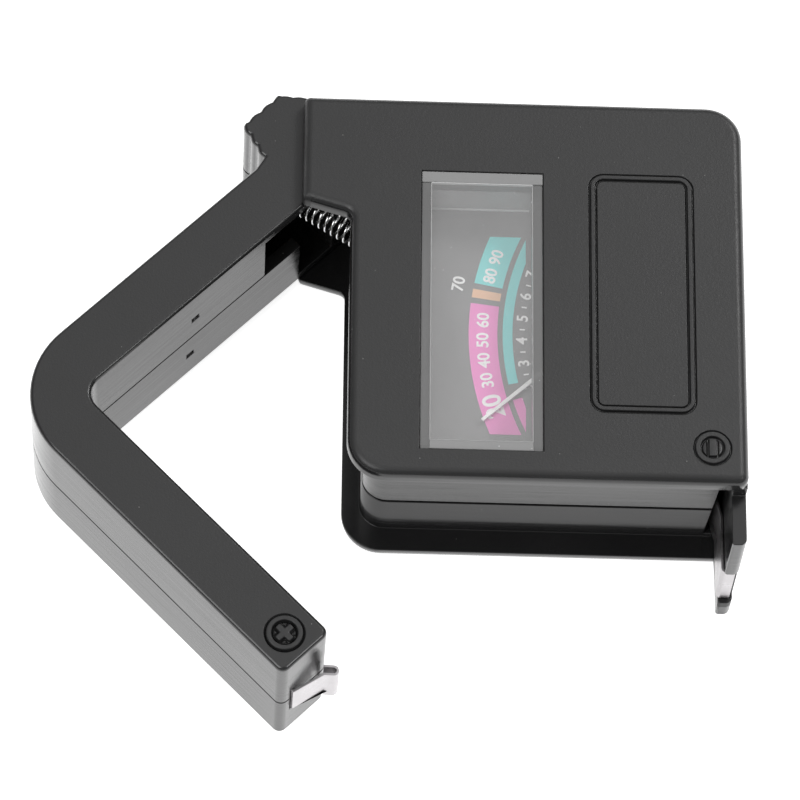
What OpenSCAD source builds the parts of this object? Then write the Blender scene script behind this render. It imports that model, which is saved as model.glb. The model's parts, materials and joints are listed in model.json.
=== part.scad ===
// Pocket battery tester: a flat case with a needle meter and a sprung arm that clamps a cell.
// The case lies face up on the XY plane. X runs to the right of the face, Y runs up the face
// and Z comes out of it. The origin is the middle of the rear plate's outer face.
// The arm is drawn closed around its pivot, with the pivot at (0, 0), and then swung open.

/* [Case] */
// Width of the case across its plates
case_w = 45.1; // [44.5:0.1:50]
// Height of the case up the face
case_h = 47.8; // [47:0.1:52]
// Thickness over both plates
case_t = 23.6; // [23.4:0.1:26]
// Thickness of the front and rear plates
plate_t = 2.1; // [1.8:0.1:2.4]
// Thickness of the side walls
wall_t = 1.8; // [1.5:0.1:2]
// Height of the joint between the two case shells
parting_z = 9.4; // [8.4:0.1:10.4]
// Shadow gap round the joint between the case shells
reveal = 0.5; // [0.2:0.05:0.8]
// How far the left wall stands in from the plates
left_inset = 2.1; // [2.1:0.1:3]
// How far the bottom wall stands in from the plates
bottom_inset = 2.85; // [2.4:0.05:3.2]
// Rounding of the face plate's edge
face_edge_r = 1.1; // [0.4:0.1:1.4]
// Rounding of the rear plate's edge
rear_edge_r = 1.5; // [0.4:0.1:1.6]
// Corner radius at the lower left of the plates
corner_low_left_r = 4.6; // [2:0.1:6]
// Corner radius at the upper right of the plates
corner_up_right_r = 4.2; // [2:0.1:6]

/* [Flange over the arm's head] */
// Reach of the flange beyond the plates' left edge
flange_out = 5.55; // [5.2:0.05:6.2]
// Height of the flange at its outer edge
flange_h = 13.3; // [12.5:0.1:14]
// Drop of the flange's lower edge towards the case
flange_drop = 1.65; // [0.8:0.05:2.4]

/* [Window and dial] */
// Distance from the plates' left edge to the window
window_in = 8.09; // [7.8:0.01:9]
// Width of the window
window_w = 13.96; // [12:0.01:15]
// Height of the window
window_h = 35.02; // [32:0.01:36]
// Distance from the plates' lower edge to the window
window_up = 3.3; // [3.1:0.05:3.6]
// Thickness of the lens skirt
skirt_t = 0.95; // [0.8:0.05:1.1]
// Depth of the dial below the face
dial_depth = 8.7; // [8.2:0.1:9.2]
// Thickness of the dial plate
dial_t = 0.4; // [0.3:0.05:0.6]

/* [Meter] */
// Distance from the window to the meter's axis
axis_from_window = 5.9; // [5.4:0.1:6.6]
// Height of the meter's axis above the middle of the window
axis_above_middle = 0.99; // [0:0.01:2]
// Length of the pointer from its axis
pointer_len = 16.7; // [14:0.1:17.5]
// Direction of the pointer at its zero stop
pointer_zero = 222; // [215:1:225]
// Radius of the magnet
magnet_r = 4.2; // [3.4:0.1:4.6]
// Height of the magnet
magnet_h = 5.2; // [4:0.1:5.6]
// Radial thickness of the moving coil
coil_t = 0.9; // [0.6:0.05:1.1]
// Air gap on each side of the moving coil
coil_gap = 0.5; // [0.4:0.05:0.6]
// Radial thickness of the iron ring
ring_t = 1.4; // [1:0.1:1.8]

/* [Arm] */
// Width of the arm's two limbs
arm_w = 7.3; // [7:0.05:7.4]
// Distance from the pivot to the arm's outer wall
arm_out = 2.5; // [2.3:0.05:2.6]
// Depth of the arm from its pivot to its outer end limb
arm_depth = 49.8; // [49:0.1:52]
// Reach of the arm's end limb from the pivot
arm_reach = 44.9; // [43:0.1:45.5]
// Outer radius of the arm's bend
bend_r = 10.4; // [6:0.1:12]
// Height of the joint between the two arm shells
arm_parting_z = 11.4; // [10.4:0.1:12.4]
// Gap between the arm and each plate
arm_gap = 0.2; // [0.15:0.05:0.3]
// Wall thickness of the arm shells
arm_wall = 1.5; // [1.3:0.05:1.6]
// Rounding of the arm's long edges
arm_edge_r = 0.5; // [0.3:0.05:1]
// Angle by which the arm is swung open
open_angle = 45.2; // [43:0.1:60]
// Radius of the pivot pin
pin_r = 1.25; // [1:0.05:1.4]
// Running clearance of the pivot pin in the arm
pin_clear = 0.05; // [0.02:0.01:0.08]

/* [Tension spring] */
// Wire thickness
spring_wire = 0.3; // [0.25:0.05:0.4]
// Outer diameter of the coils
spring_od = 3.1; // [2.4:0.1:3.4]
// Number of coils
spring_turns = 15; // [10:1:17]

/* [Contacts] */
// Thickness of the contact strips
strip_t = 0.3; // [0.2:0.05:0.4]
// Width of the negative contact
negative_w = 7.3; // [6:0.1:7.5]
// Width of the positive contact
positive_w = 4.9; // [3:0.1:5.4]
// Length of the ear below the plates
ear_len = 5.8; // [5:0.1:7]
// Thickness of the ear
ear_t = 1.65; // [1.4:0.05:1.8]

/* [Hidden] */

$fn = 48;
eps = 0.01;
arc_steps = 6;
seat_gap = 0.05;

// Case frame
x_left = -case_w / 2;
x_right = case_w / 2;
y_bottom = -case_h / 2;
y_top = case_h / 2;
face_under_z = case_t - plate_t;
wall_left = x_left + left_inset;
wall_bottom = y_bottom + bottom_inset;
in_left = wall_left + wall_t;
in_right = x_right - wall_t;
in_bottom = wall_bottom + wall_t;
in_top = y_top - wall_t;
flange_x = x_left - flange_out;
corner_small_r = 1.2;
flange_corner_r = 0.8;
flange_notch_r = 1;
wall_corner_r = 2.9;

// Window, lens and dial
window_l = x_left + window_in;
window_r = window_l + window_w;
window_b = y_bottom + window_up;
window_t = window_b + window_h;
lens_clear = 0.06;
lens_sunk = 0.12;
lens_ledge = 0.9;
lens_ledge_t = 0.8;
dial_z = case_t - dial_depth;
dial_low_z = dial_z - dial_t;
dial_l = window_l + 0.1;
dial_r = window_r + 13.6;
dial_b = in_bottom + 0.1;
dial_tp = window_t - 0.1;
dial_left_r = 0.4;
dial_right_r = 1.5;
dial_hole_r = 2;
skirt_foot = 0.25;

// Meter, built round its own axis
axis_x = window_r + axis_from_window;
axis_y = (window_b + window_t) / 2 + axis_above_middle;
pointer_z = dial_z + 0.55;
pointer_t = 0.3;
coil_bar_t = 0.7;
coil_bar_gap = 0.3;
coil_top_z = dial_low_z - 1.7;
coil_low_z = coil_top_z - magnet_h - 2 * (coil_bar_t + coil_bar_gap);
magnet_low_z = coil_low_z + coil_bar_t + coil_bar_gap;
coil_in_r = magnet_r + coil_gap;
coil_out_r = coil_in_r + coil_t;
ring_in_r = coil_out_r + coil_gap;
ring_out_r = ring_in_r + ring_t;
coil_w = 2.6;
staff_r = 0.45;
staff_tip_r = 0.3;
jewel_clear = 0.05;
jewel_r = 1;
frame_floor_t = 1.6;
frame_floor_z = plate_t + frame_floor_t;
bridge_z = pointer_z + 1.75;
bridge_t = 0.8;
bridge_w = 3;
bridge_leg_r = ring_out_r + 1.3;
bridge_leg_t = 0.8;
jewel_front_low = bridge_z - 0.8;
jewel_front_top = bridge_z + bridge_t + 0.6;
jewel_rear_top = coil_low_z - 1.3;
tip_in_jewel = 0.45;
tip_bare = 0.25;
collet_r = staff_r + 0.6;
collet_h = 0.35;
screw_x = dial_r - 1.7;
dial_screw_off = 11.5;
dial_screw_ys = [axis_y - dial_screw_off, axis_y + dial_screw_off];
dial_screw_r = 0.6;
dial_screw_len = 3;
dial_head_r = 1.2;
dial_head_h = 0.6;
frame_half_h = 13.4;
frame_in = 5.2;
frame_corner_r = 2;

// Screws of the case: each stands in a boss in a corner of the case
boss_r = 2;
screw_r = 0.9;
screw_hole_clear = 0.15;
head_r = 1.9;
head_h = 1.3;
head_sunk = 0.15;
thread_clear = 0.02;
screw_len = 14;
boss_in = boss_r - 0.25;
case_screw_places = [
    [in_left + boss_in, in_bottom + boss_in + 0.9],
    [in_left + boss_in, in_top - boss_in],
    [in_right - boss_in - 0.8, in_top - boss_in - 0.8],
    [in_right - boss_in - 2.8, in_bottom + boss_in]];

// Ear and negative contact
ear_x = x_right - ear_t;
ear_y = y_bottom - ear_len;
ear_step = 0.3;
ear_corner_r = 0.8;
ear_top_z = case_t - 4;
negative_low_z = parting_z - 2.2 - negative_w / 2;
negative_high_z = negative_low_z + negative_w;
notch_gap = 0.15;
notch_depth = 1;
contact_gap_low = 1.5;
contact_gap_high = 0.5;
contact_gap_z = plate_t + 0.6;

// Pivot and arm
pivot_x = flange_x + 2.6;
pivot_y = y_top - 4.16;
pin_low_z = 0.8;
pin_high_z = case_t - 0.8;
arm_low_z = plate_t + arm_gap;
arm_high_z = face_under_z - arm_gap;
arm_in = arm_w - arm_out;
head_top = 4.1;
arm_roof_t = 1.6;
hollow_top = -3;
front_mouth_y = -14;
rear_mouth_y = -8.3;
arm_boss_r = 1.85;
arm_screw_r = 0.8;
arm_head_r = 1.55;
arm_head_h = 1.1;
arm_screw_len = 12;
arm_screw_places = [
    [arm_in - arm_wall - 1.5, -31],
    [arm_reach - 11, -arm_depth + arm_w - arm_wall - 1.5]];
pocket_deep = 0.35;
pocket_len = 1.1;
pocket_h = 0.9;
front_pocket = [-25.1, arm_high_z - 5.7];
rear_pocket = [-25.9, arm_low_z + 4.8];
positive_low_z = (arm_low_z + arm_high_z) / 2 - 0.65 - positive_w / 2;
curl_drop = 1.2;
strip_off = 0.05;
symbol_r = 1.95;
plus_r = 2.05;
symbol_line = 0.58;
minus_in = 4.1;
minus_up = 4.25;
minus_w = 0.85;
minus_len = 2.1;
plus_in = 3.35;
plus_up = 3.52;
plus_w = 0.72;
plus_len = 2.3;
label_in = 5.44;
label_up = 8.5;
label_w = 11.61;
label_h = 29.76;
label_corner_r = 1.5;
label_line = 0.5;
emboss_h = 0.22;
moat_w = 0.22;
moat_d = 0.28;

// Tension spring between the arm's post and the anchor in the case
post_r = 0.5;
arm_post = [0.5, -7.3];
anchor = [in_left + 1.15, y_top - 17.66];
spring_z = face_under_z - 3.9;
post_past_spring = 1.2;
spring_mouth_below = 1.9;
spring_mouth_above = 5.1;
hook_r = post_r + 0.05 + spring_wire / 2;

charcoal = [0.27, 0.27, 0.28];
metal = [0.78, 0.78, 0.8];
brass = [0.8, 0.68, 0.4];

// ---------- Outlines ----------

function unit(v) = v / norm(v);
function cross2(a, b) = a.x * b.y - a.y * b.x;
function turn(p, a) = [p.x * cos(a) - p.y * sin(a), p.x * sin(a) + p.y * cos(a)];
function wrap(a) = a > 180 ? a - 360 : a < -180 ? a + 360 : a;

// Arc of radius r in the corner at p between the neighbours a and b
function corner_arc(a, p, b, r, n) =
    let (u = unit(a - p), v = unit(b - p))
    let (half = acos(max(-1, min(1, u * v))) / 2)
    let (c = p + unit(u + v) * r / sin(half))
    let (s = p + u * r / tan(half) - c, e = p + v * r / tan(half) - c)
    let (a0 = atan2(s.y, s.x), sweep = wrap(atan2(e.y, e.x) - a0))
    [for (i = [0:n]) c + r * [cos(a0 + sweep * i / n), sin(a0 + sweep * i / n)]];

// Steps of the arc in a corner: wide corners get finer arcs
function steps_for(r) = r > 6 ? 3 * arc_steps : r > 2.5 ? 2 * arc_steps : arc_steps;

// Closed outline through corners [x, y, radius] that run anticlockwise, moved inwards by inset
function outline(corners, inset = 0) =
    let (m = len(corners))
    let (p = [for (c = corners) [c.x, c.y]])
    let (q = [for (i = [0:m - 1])
        let (d0 = unit(p[i] - p[(i + m - 1) % m]), d1 = unit(p[(i + 1) % m] - p[i]))
        let (n0 = [-d0.y, d0.x], n1 = [-d1.y, d1.x])
        p[i] + inset * (n0 + n1) / (1 + n0 * n1)])
    [for (i = [0:m - 1])
        let (a = q[(i + m - 1) % m], b = q[(i + 1) % m])
        let (convex = cross2(p[i] - p[(i + m - 1) % m], p[(i + 1) % m] - p[i]) > 0)
        let (r = corners[i].z)
        each r == 0 ? [q[i]]
            : corner_arc(a, q[i], b, convex ? max(0.15, r - inset) : r + inset, steps_for(r))];

// Band of thickness t to the left of an open path
function band(path, t) =
    let (m = len(path))
    let (side = [for (i = [0:m - 1])
        let (d0 = unit(path[max(i, 1)] - path[max(i, 1) - 1]))
        let (d1 = unit(path[min(i, m - 2) + 1] - path[min(i, m - 2)]))
        let (n0 = [-d0.y, d0.x], n1 = [-d1.y, d1.x])
        path[i] + t * (n0 + n1) / (1 + n0 * n1)])
    concat(path, [for (i = [m - 1:-1:0]) side[i]]);

function in_triangle(q, a, b, c) =
    cross2(b - a, q - a) >= 0 && cross2(c - b, q - b) >= 0 && cross2(a - c, q - c) >= 0;

// Whether the i-th corner of the loop, given as indices into p, can be cut off as a triangle
function is_ear(p, loop, i) =
    let (m = len(loop), ia = loop[(i + m - 1) % m], ib = loop[i], ic = loop[(i + 1) % m])
    let (a = p[ia], b = p[ib], c = p[ic])
    cross2(b - a, c - b) > 0
        && len([for (k = loop) if (k != ia && k != ib && k != ic && in_triangle(p[k], a, b, c)) k]) == 0;

function first_ear(p, loop, i = 0) =
    i >= len(loop) || is_ear(p, loop, i) ? i % len(loop) : first_ear(p, loop, i + 1);

// Index triples that fill an anticlockwise loop of points
function triangles(p, loop, done = []) =
    let (m = len(loop))
    m == 3 ? concat(done, [loop])
        : let (i = first_ear(p, loop))
        triangles(p, [for (k = [0:m - 1]) if (k != i) loop[k]],
            concat(done, [[loop[(i + m - 1) % m], loop[i], loop[(i + 1) % m]]]));

// Solid between outlines of equal length, given as [outline, height] from the lowest up
module loft(levels) {
    n = len(levels[0][0]);
    top = len(levels) - 1;
    loop = [for (i = [0:n - 1]) i];
    points = [for (level = levels) for (p = level[0]) [p.x, p.y, level[1]]];
    sides = [for (k = [0:top - 1]) for (i = loop)
        let (j = (i + 1) % n)
        each [[k * n + i, (k + 1) * n + i, (k + 1) * n + j], [k * n + i, (k + 1) * n + j, k * n + j]]];
    floor = triangles(levels[0][0], loop);
    lid = [for (t = triangles(levels[top][0], loop)) [for (i = [2:-1:0]) top * n + t[i]]];
    polyhedron(points, concat(floor, sides, lid), convexity = 6);
}

// Plate from z0 to z1 with a rounded upper edge
function rounded_top(corners, z0, z1, r, steps = 4) = concat(
    [[outline(corners), z0]],
    [for (k = [0:steps]) let (a = 90 * k / steps)
        [outline(corners, r * (1 - cos(a))), z1 - r + r * sin(a)]]);

// Plate from z0 to z1 with a rounded lower edge
function rounded_bottom(corners, z0, z1, r, steps = 4) = concat(
    [for (k = [steps:-1:0]) let (a = 90 * k / steps)
        [outline(corners, r * (1 - cos(a))), z0 + r - r * sin(a)]],
    [[outline(corners), z1]]);

// Straight extrusion of an outline from z0 to z1
module slab(points, z0, z1) {
    translate([0, 0, z0])
        linear_extrude(z1 - z0)
            polygon(points);
}

// Block between two corners
module block(low, high) {
    translate(low)
        cube(high - low);
}

// Upright cylinder at a place in the plane
module post(place, r, z0, z1) {
    translate([place.x, place.y, z0])
        cylinder(r = r, h = z1 - z0);
}

// Round wire along a path, with its sides kept from twisting
module wire(path, r, sides = 6) {
    m = len(path);
    tangents = [for (i = [0:m - 1]) unit(path[min(i + 1, m - 1)] - path[max(i - 1, 0)])];
    start = unit(cross(tangents[0], abs(tangents[0].z) < 0.9 ? [0, 0, 1] : [1, 0, 0]));
    normals = [for (i = 0, v = start; i < m; i = i + 1,
        v = i < m ? unit(v - (v * tangents[min(i, m - 1)]) * tangents[min(i, m - 1)]) : v) v];
    points = [for (i = [0:m - 1]) for (k = [0:sides - 1])
        let (a = 360 * k / sides)
        path[i] + r * (cos(a) * normals[i] + sin(a) * cross(tangents[i], normals[i]))];
    walls = [for (i = [0:m - 2]) for (k = [0:sides - 1])
        let (j = (k + 1) % sides, a = i * sides, b = a + sides)
        each [[a + k, b + k, b + j], [a + k, b + j, a + j]]];
    start_cap = [for (k = [0:sides - 1]) k];
    end_cap = [for (k = [sides - 1:-1:0]) (m - 1) * sides + k];
    polyhedron(points, concat([start_cap], walls, [end_cap]), convexity = 8);
}

// ---------- Case ----------

// Outline shared by the front and rear plates, with the flange at the upper left
plate_corners = [
    [x_left, y_bottom, corner_low_left_r],
    [x_right, y_bottom, corner_small_r],
    [x_right, y_top, corner_up_right_r],
    [flange_x, y_top, flange_corner_r],
    [flange_x, y_top - flange_h, corner_small_r / 2],
    [x_left, y_top - flange_h - flange_drop, flange_notch_r]];

// Outer outline of the side walls
wall_corners = [
    [wall_left, wall_bottom, wall_corner_r],
    [x_right, wall_bottom, corner_small_r],
    [x_right, y_top, corner_up_right_r],
    [wall_left, y_top, flange_corner_r]];

// Ring of wall between two heights, of the given outer inset and thickness
module wall_ring(z0, z1, inset, t) {
    translate([0, 0, z0])
        linear_extrude(z1 - z0)
            difference() {
                polygon(outline(wall_corners, inset));
                polygon(outline(wall_corners, inset + t));
            }
}

// Ear that carries the negative contact: its foot beyond the plates, and its root between z0 and z1
module ear(z0, z1, foot_z, top_z, foot_y) {
    foot = [
        [ear_x, foot_y, 0.3],
        [x_right, foot_y, ear_corner_r],
        [x_right, wall_bottom + wall_t, 0],
        [ear_x, wall_bottom + wall_t, 0]];
    slab(outline(foot), foot_z, top_z);
    // Between the plates the ear is as deep as the wall that it grows from
    block([ear_x, y_bottom + 0.3, z0], [x_right, wall_bottom + wall_t / 2, z1]);
}

// Slot in the ear's tip for the folded end of the negative contact
module ear_slot() {
    block([ear_x - 1, ear_y - 2, negative_low_z - notch_gap],
        [x_right + 1, ear_y + notch_depth, negative_high_z + notch_gap]);
}

// Opening at the right end of the bottom wall, wider towards the rear, where the contact comes out
module contact_opening() {
    translate([0, wall_bottom + wall_t + 0.5, 0])
        rotate([90, 0, 0])
            linear_extrude(wall_t + 1)
                polygon([
                    [ear_x - contact_gap_low, contact_gap_z],
                    [ear_x, contact_gap_z],
                    [ear_x, face_under_z],
                    [ear_x - contact_gap_high, face_under_z]]);
}

// Flat shape raised from a face at the given height
module raised(face_z) {
    translate([0, 0, face_z - eps])
        linear_extrude(emboss_h + eps)
            children();
}

// Moat round a raised shape: the first flat shape less the second, sunk into a face at the given height
module moat(face_z) {
    translate([0, 0, face_z - moat_d])
        linear_extrude(moat_d + 1)
            difference() {
                children(0);
                children(1);
            }
}

// Ring of a polarity sign, grown on both sides
module sign_ring(r, grow) {
    difference() {
        circle(r + grow);
        circle(r - symbol_line - grow);
    }
}

// Ring and bar of the minus sign, grown all round
module minus_sign(grow = 0) {
    translate([x_right - minus_in, y_bottom + minus_up]) {
        sign_ring(symbol_r, grow);
        square([minus_w + 2 * grow, minus_len + 2 * grow], center = true);
    }
}

// Round-cornered frame on the right of the face, grown on both sides
module label_frame(grow = 0) {
    l = window_r + label_in;
    b = y_bottom + label_up;
    frame = [
        [l, b, label_corner_r],
        [l + label_w, b, label_corner_r],
        [l + label_w, b + label_h, label_corner_r],
        [l, b + label_h, label_corner_r]];
    difference() {
        polygon(outline(frame, -grow));
        polygon(outline(frame, label_line + grow));
    }
}

// Bosses that the case screws cut their threads in
module front_bosses() {
    for (place = case_screw_places)
        post(place, boss_r, parting_z + seat_gap, face_under_z + eps);
}

module front_case() {
    color(charcoal)
        difference() {
            union() {
                loft(rounded_top(plate_corners, face_under_z, case_t, face_edge_r));
                wall_ring(parting_z + reveal, face_under_z + eps, 0, wall_t);
                wall_ring(parting_z, parting_z + reveal + eps, wall_t / 2, wall_t / 2);
                ear(parting_z + seat_gap, face_under_z + eps, parting_z + seat_gap, ear_top_z, ear_y);
                front_bosses();
                raised(case_t) {
                    label_frame();
                    minus_sign();
                }
            }
            moat(case_t) {
                label_frame(moat_w);
                label_frame();
            }
            moat(case_t) {
                minus_sign(moat_w);
                minus_sign();
            }
            block([window_l, window_b, face_under_z], [window_r, window_t, case_t + 1]);
            spring_opening();
            contact_opening();
            ear_slot();
            post([pivot_x, pivot_y], pin_r + thread_clear, face_under_z - 1, pin_high_z);
            for (place = case_screw_places)
                post(place, screw_r + thread_clear, parting_z - 1, head_sunk + head_h + screw_len + 0.5);
            for (place = side_contact_places)
                side_contact_hole(place);
        }
}

// Opening in the left wall for the tension spring
module spring_opening() {
    block([wall_left - 1, anchor.y - spring_mouth_below, spring_z - spring_od / 2 - 0.9],
        [in_left + eps, anchor.y + spring_mouth_above, face_under_z]);
}

module rear_case() {
    color(charcoal)
        difference() {
            union() {
                loft(rounded_bottom(plate_corners, 0, plate_t, rear_edge_r));
                wall_ring(plate_t - eps, parting_z, 0, wall_t);
                ear(plate_t - eps, parting_z, 0, parting_z, ear_y - ear_step);
                for (place = case_screw_places)
                    post(place, boss_r, plate_t - eps, parting_z);
                for (place = board_posts)
                    post(place, board_post_r, plate_t - eps, board_z);
                post(anchor, anchor_boss_r, plate_t - eps, board_z + board_t);
            }
            contact_opening();
            ear_slot();
            post([pivot_x, pivot_y], pin_r + thread_clear, pin_low_z, plate_t + 1);
            post(anchor, post_r + thread_clear, anchor_seat_z, anchor_seat_z + 5);
            for (place = case_screw_places) {
                post(place, screw_r + screw_hole_clear, -1, parting_z + 1);
                post(place, head_r + screw_hole_clear, -1, head_sunk + head_h);
            }
        }
}

// Pan-head screw with a cross recess, standing on its head
module screw(shank_r, len, pan_r, pan_h) {
    point = 1;
    slot_w = 0.44;
    difference() {
        union() {
            cylinder(r = pan_r, h = pan_h);
            cylinder(r = shank_r, h = pan_h + len - point);
            translate([0, 0, pan_h + len - point])
                cylinder(r1 = shank_r, r2 = 0.3 * shank_r, h = point);
        }
        for (a = [0, 90])
            rotate([0, 0, a])
                translate([-0.75 * pan_r, -slot_w / 2, -1])
                    cube([1.5 * pan_r, slot_w, 1 + 0.55 * pan_h]);
    }
}

module case_screws() {
    color(metal)
        for (place = case_screw_places)
            translate([place.x, place.y, head_sunk])
                screw(screw_r, screw_len, head_r, head_h);
}

module pivot_pin() {
    color(metal)
        post([pivot_x, pivot_y], pin_r, pin_low_z + seat_gap, pin_high_z - seat_gap);
}

// Contacts for a square cell's two studs, set in the right-hand wall
side_contact_r = 2.1;
side_contact_pitch = 12.7;
side_contact_z = (parting_z + face_under_z) / 2 + 0.4;
side_contact_places = [[axis_y - side_contact_pitch / 2], [axis_y + side_contact_pitch / 2]];

module side_contact_hole(place) {
    translate([in_right - 1, place[0], side_contact_z])
        rotate([0, 90, 0])
            cylinder(r = side_contact_r + thread_clear, h = wall_t + 2);
}

module side_contacts() {
    color(metal)
        for (place = side_contact_places)
            translate([in_right, place[0], side_contact_z])
                rotate([0, 90, 0]) {
                    cylinder(r = side_contact_r, h = wall_t - 0.3);
                    translate([0, 0, -0.4])
                        cylinder(r = side_contact_r + 0.9, h = 0.4);
                }
}

// ---------- Window and dial ----------

module window_lens() {
    top_z = case_t - lens_sunk;
    l = window_l + lens_clear;
    r = window_r - lens_clear;
    b = window_b + lens_clear;
    t = window_t - lens_clear;
    skirt_top = face_under_z + eps;
    ledge_up = 8.5;
    ledge_len = 14;
    color([0.75, 0.77, 0.78, 0.45])
        union() {
            block([l, b, face_under_z], [r, t, top_z]);
            // Left, upper and right skirts that frame the dial
            block([l, in_bottom + 0.1, dial_z + skirt_foot], [l + skirt_t, t, skirt_top]);
            block([l, t - skirt_t, dial_z + skirt_foot], [r, t, skirt_top]);
            block([r - skirt_t, in_bottom + 0.1, pointer_z + pointer_t + 0.8], [r, t, skirt_top]);
            // Ledges that keep the lens from being pushed out through the face
            block([l - lens_ledge, b + ledge_up, face_under_z - lens_ledge_t],
                [l + eps, b + ledge_up + ledge_len, face_under_z]);
            block([l + 2, t - eps, face_under_z - lens_ledge_t], [r - 2, t + lens_ledge, face_under_z]);
        }
}

module dial_plate() {
    plate = [
        [dial_l, dial_b, dial_left_r],
        [dial_r, dial_b, dial_right_r],
        [dial_r, dial_tp, dial_right_r],
        [dial_l, dial_tp, dial_left_r]];
    color([0.6, 0.6, 0.6])
        difference() {
            slab(outline(plate), dial_low_z, dial_z);
            post([axis_x, axis_y], dial_hole_r, dial_low_z - 1, dial_z + 1);
            for (s = [-1, 1])
                block([axis_x - bridge_w / 2 - 0.2, axis_y + s * bridge_leg_r - bridge_leg_t, dial_low_z - 1],
                    [axis_x + bridge_w / 2 + 0.2, axis_y + s * bridge_leg_r + bridge_leg_t, dial_z + 1]);
            for (y = dial_screw_ys)
                post([screw_x, y], dial_screw_r + screw_hole_clear, dial_low_z - 1, dial_z + 1);
        }
}

// Two small screws that hold the dial to the meter frame
module dial_screws() {
    color(metal)
        for (y = dial_screw_ys) {
            post([screw_x, y], dial_screw_r, dial_low_z - dial_screw_len, dial_z + eps);
            difference() {
                post([screw_x, y], dial_head_r, dial_z, dial_z + dial_head_h);
                block([screw_x - dial_head_r - 0.1, y - 0.15, dial_z + dial_head_h / 2],
                    [screw_x + dial_head_r + 0.1, y + 0.15, dial_z + 1]);
            }
        }
}

// ---------- Meter ----------

// Moulded frame: a floor with a seat for the iron ring, posts for the dial and legs for the bridge
module meter_frame() {
    seat_z = magnet_low_z;
    floor_plate = [
        [window_l + frame_in, axis_y - frame_half_h, frame_corner_r],
        [dial_r - 0.2, axis_y - frame_half_h, frame_corner_r],
        [dial_r - 0.2, axis_y + frame_half_h, frame_corner_r],
        [window_l + frame_in, axis_y + frame_half_h, frame_corner_r]];
    left_post_x = window_l + frame_in + 2;
    color([0.16, 0.16, 0.17])
        difference() {
            union() {
                slab(outline(floor_plate), plate_t, frame_floor_z);
                // Ring-shaped seat under the iron ring, with a rim round it
                post([axis_x, axis_y], ring_out_r + 0.6, frame_floor_z - eps, seat_z + 1.2);
                for (y = dial_screw_ys) {
                    post([screw_x, y], 1.5, frame_floor_z - eps, dial_low_z);
                    post([left_post_x, y], 1.3, frame_floor_z - eps, dial_low_z);
                }
                // Pads that the legs of the bridge stand on
                for (s = [-1, 1])
                    block([axis_x - bridge_w / 2, axis_y + s * bridge_leg_r - 0.9, frame_floor_z - eps],
                        [axis_x + bridge_w / 2, axis_y + s * bridge_leg_r + 0.9, seat_z]);
            }
            post([axis_x, axis_y], ring_out_r + seat_gap, seat_z, seat_z + 3);
            post([axis_x, axis_y], coil_out_r + 0.4, frame_floor_z, seat_z + 3);
            post([axis_x, axis_y], jewel_r + thread_clear, 0, seat_z);
            for (s = [-1, 1])
                block([axis_x - bridge_w / 2 - 0.1, axis_y + s * bridge_leg_r - bridge_leg_t, seat_z],
                    [axis_x + bridge_w / 2 + 0.1, axis_y + s * bridge_leg_r + bridge_leg_t, seat_z + 3]);
            for (y = dial_screw_ys)
                post([screw_x, y], dial_screw_r + thread_clear, dial_low_z - dial_screw_len - 0.2,
                    dial_low_z + 1);
        }
}

module meter_magnet() {
    color([0.35, 0.35, 0.37])
        post([axis_x, axis_y], magnet_r, magnet_low_z, magnet_low_z + magnet_h);
}

module meter_ring() {
    color([0.5, 0.5, 0.52])
        difference() {
            post([axis_x, axis_y], ring_out_r, magnet_low_z, magnet_low_z + magnet_h);
            post([axis_x, axis_y], ring_in_r, magnet_low_z - 1, magnet_low_z + magnet_h + 1);
        }
}

// Two clips that hold the magnet in the ring, outside the sweep of the coil
module magnet_clips() {
    clip_w = 2.4;
    clip_h = magnet_h - 1.6;
    color(brass)
        translate([axis_x, axis_y, magnet_low_z + 0.8])
            intersection() {
                difference() {
                    cylinder(r = ring_in_r, h = clip_h);
                    translate([0, 0, -1])
                        cylinder(r = magnet_r, h = clip_h + 2);
                }
                translate([-ring_out_r, -clip_w / 2, 0])
                    cube([2 * ring_out_r, clip_w, clip_h]);
            }
}

// Strap over the pointer that carries the front jewel
module meter_bridge() {
    leg_foot = magnet_low_z;
    color(brass)
        difference() {
            union() {
                block([axis_x - bridge_w / 2, axis_y - bridge_leg_r - bridge_leg_t / 2, bridge_z],
                    [axis_x + bridge_w / 2, axis_y + bridge_leg_r + bridge_leg_t / 2, bridge_z + bridge_t]);
                for (s = [-1, 1])
                    block([axis_x - bridge_w / 2, axis_y + s * bridge_leg_r - bridge_leg_t / 2, leg_foot],
                        [axis_x + bridge_w / 2, axis_y + s * bridge_leg_r + bridge_leg_t / 2, bridge_z + eps]);
            }
            post([axis_x, axis_y], jewel_r + thread_clear, bridge_z - 1, bridge_z + bridge_t + 1);
        }
}

// Threaded jewel cups at the two ends of the staff
module jewel_screws() {
    cup_r = staff_tip_r + jewel_clear;
    color(brass) {
        difference() {
            post([axis_x, axis_y], jewel_r, jewel_front_low, jewel_front_top);
            post([axis_x, axis_y], cup_r, jewel_front_low - 1, jewel_front_low + tip_in_jewel + 0.1);
            block([axis_x - 2, axis_y - 0.15, jewel_front_top - 0.3],
                [axis_x + 2, axis_y + 0.15, jewel_front_top + 1]);
        }
        difference() {
            post([axis_x, axis_y], jewel_r, plate_t + 0.1, jewel_rear_top);
            post([axis_x, axis_y], cup_r, jewel_rear_top - tip_in_jewel - 0.1, jewel_rear_top + 1);
        }
    }
}

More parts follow.
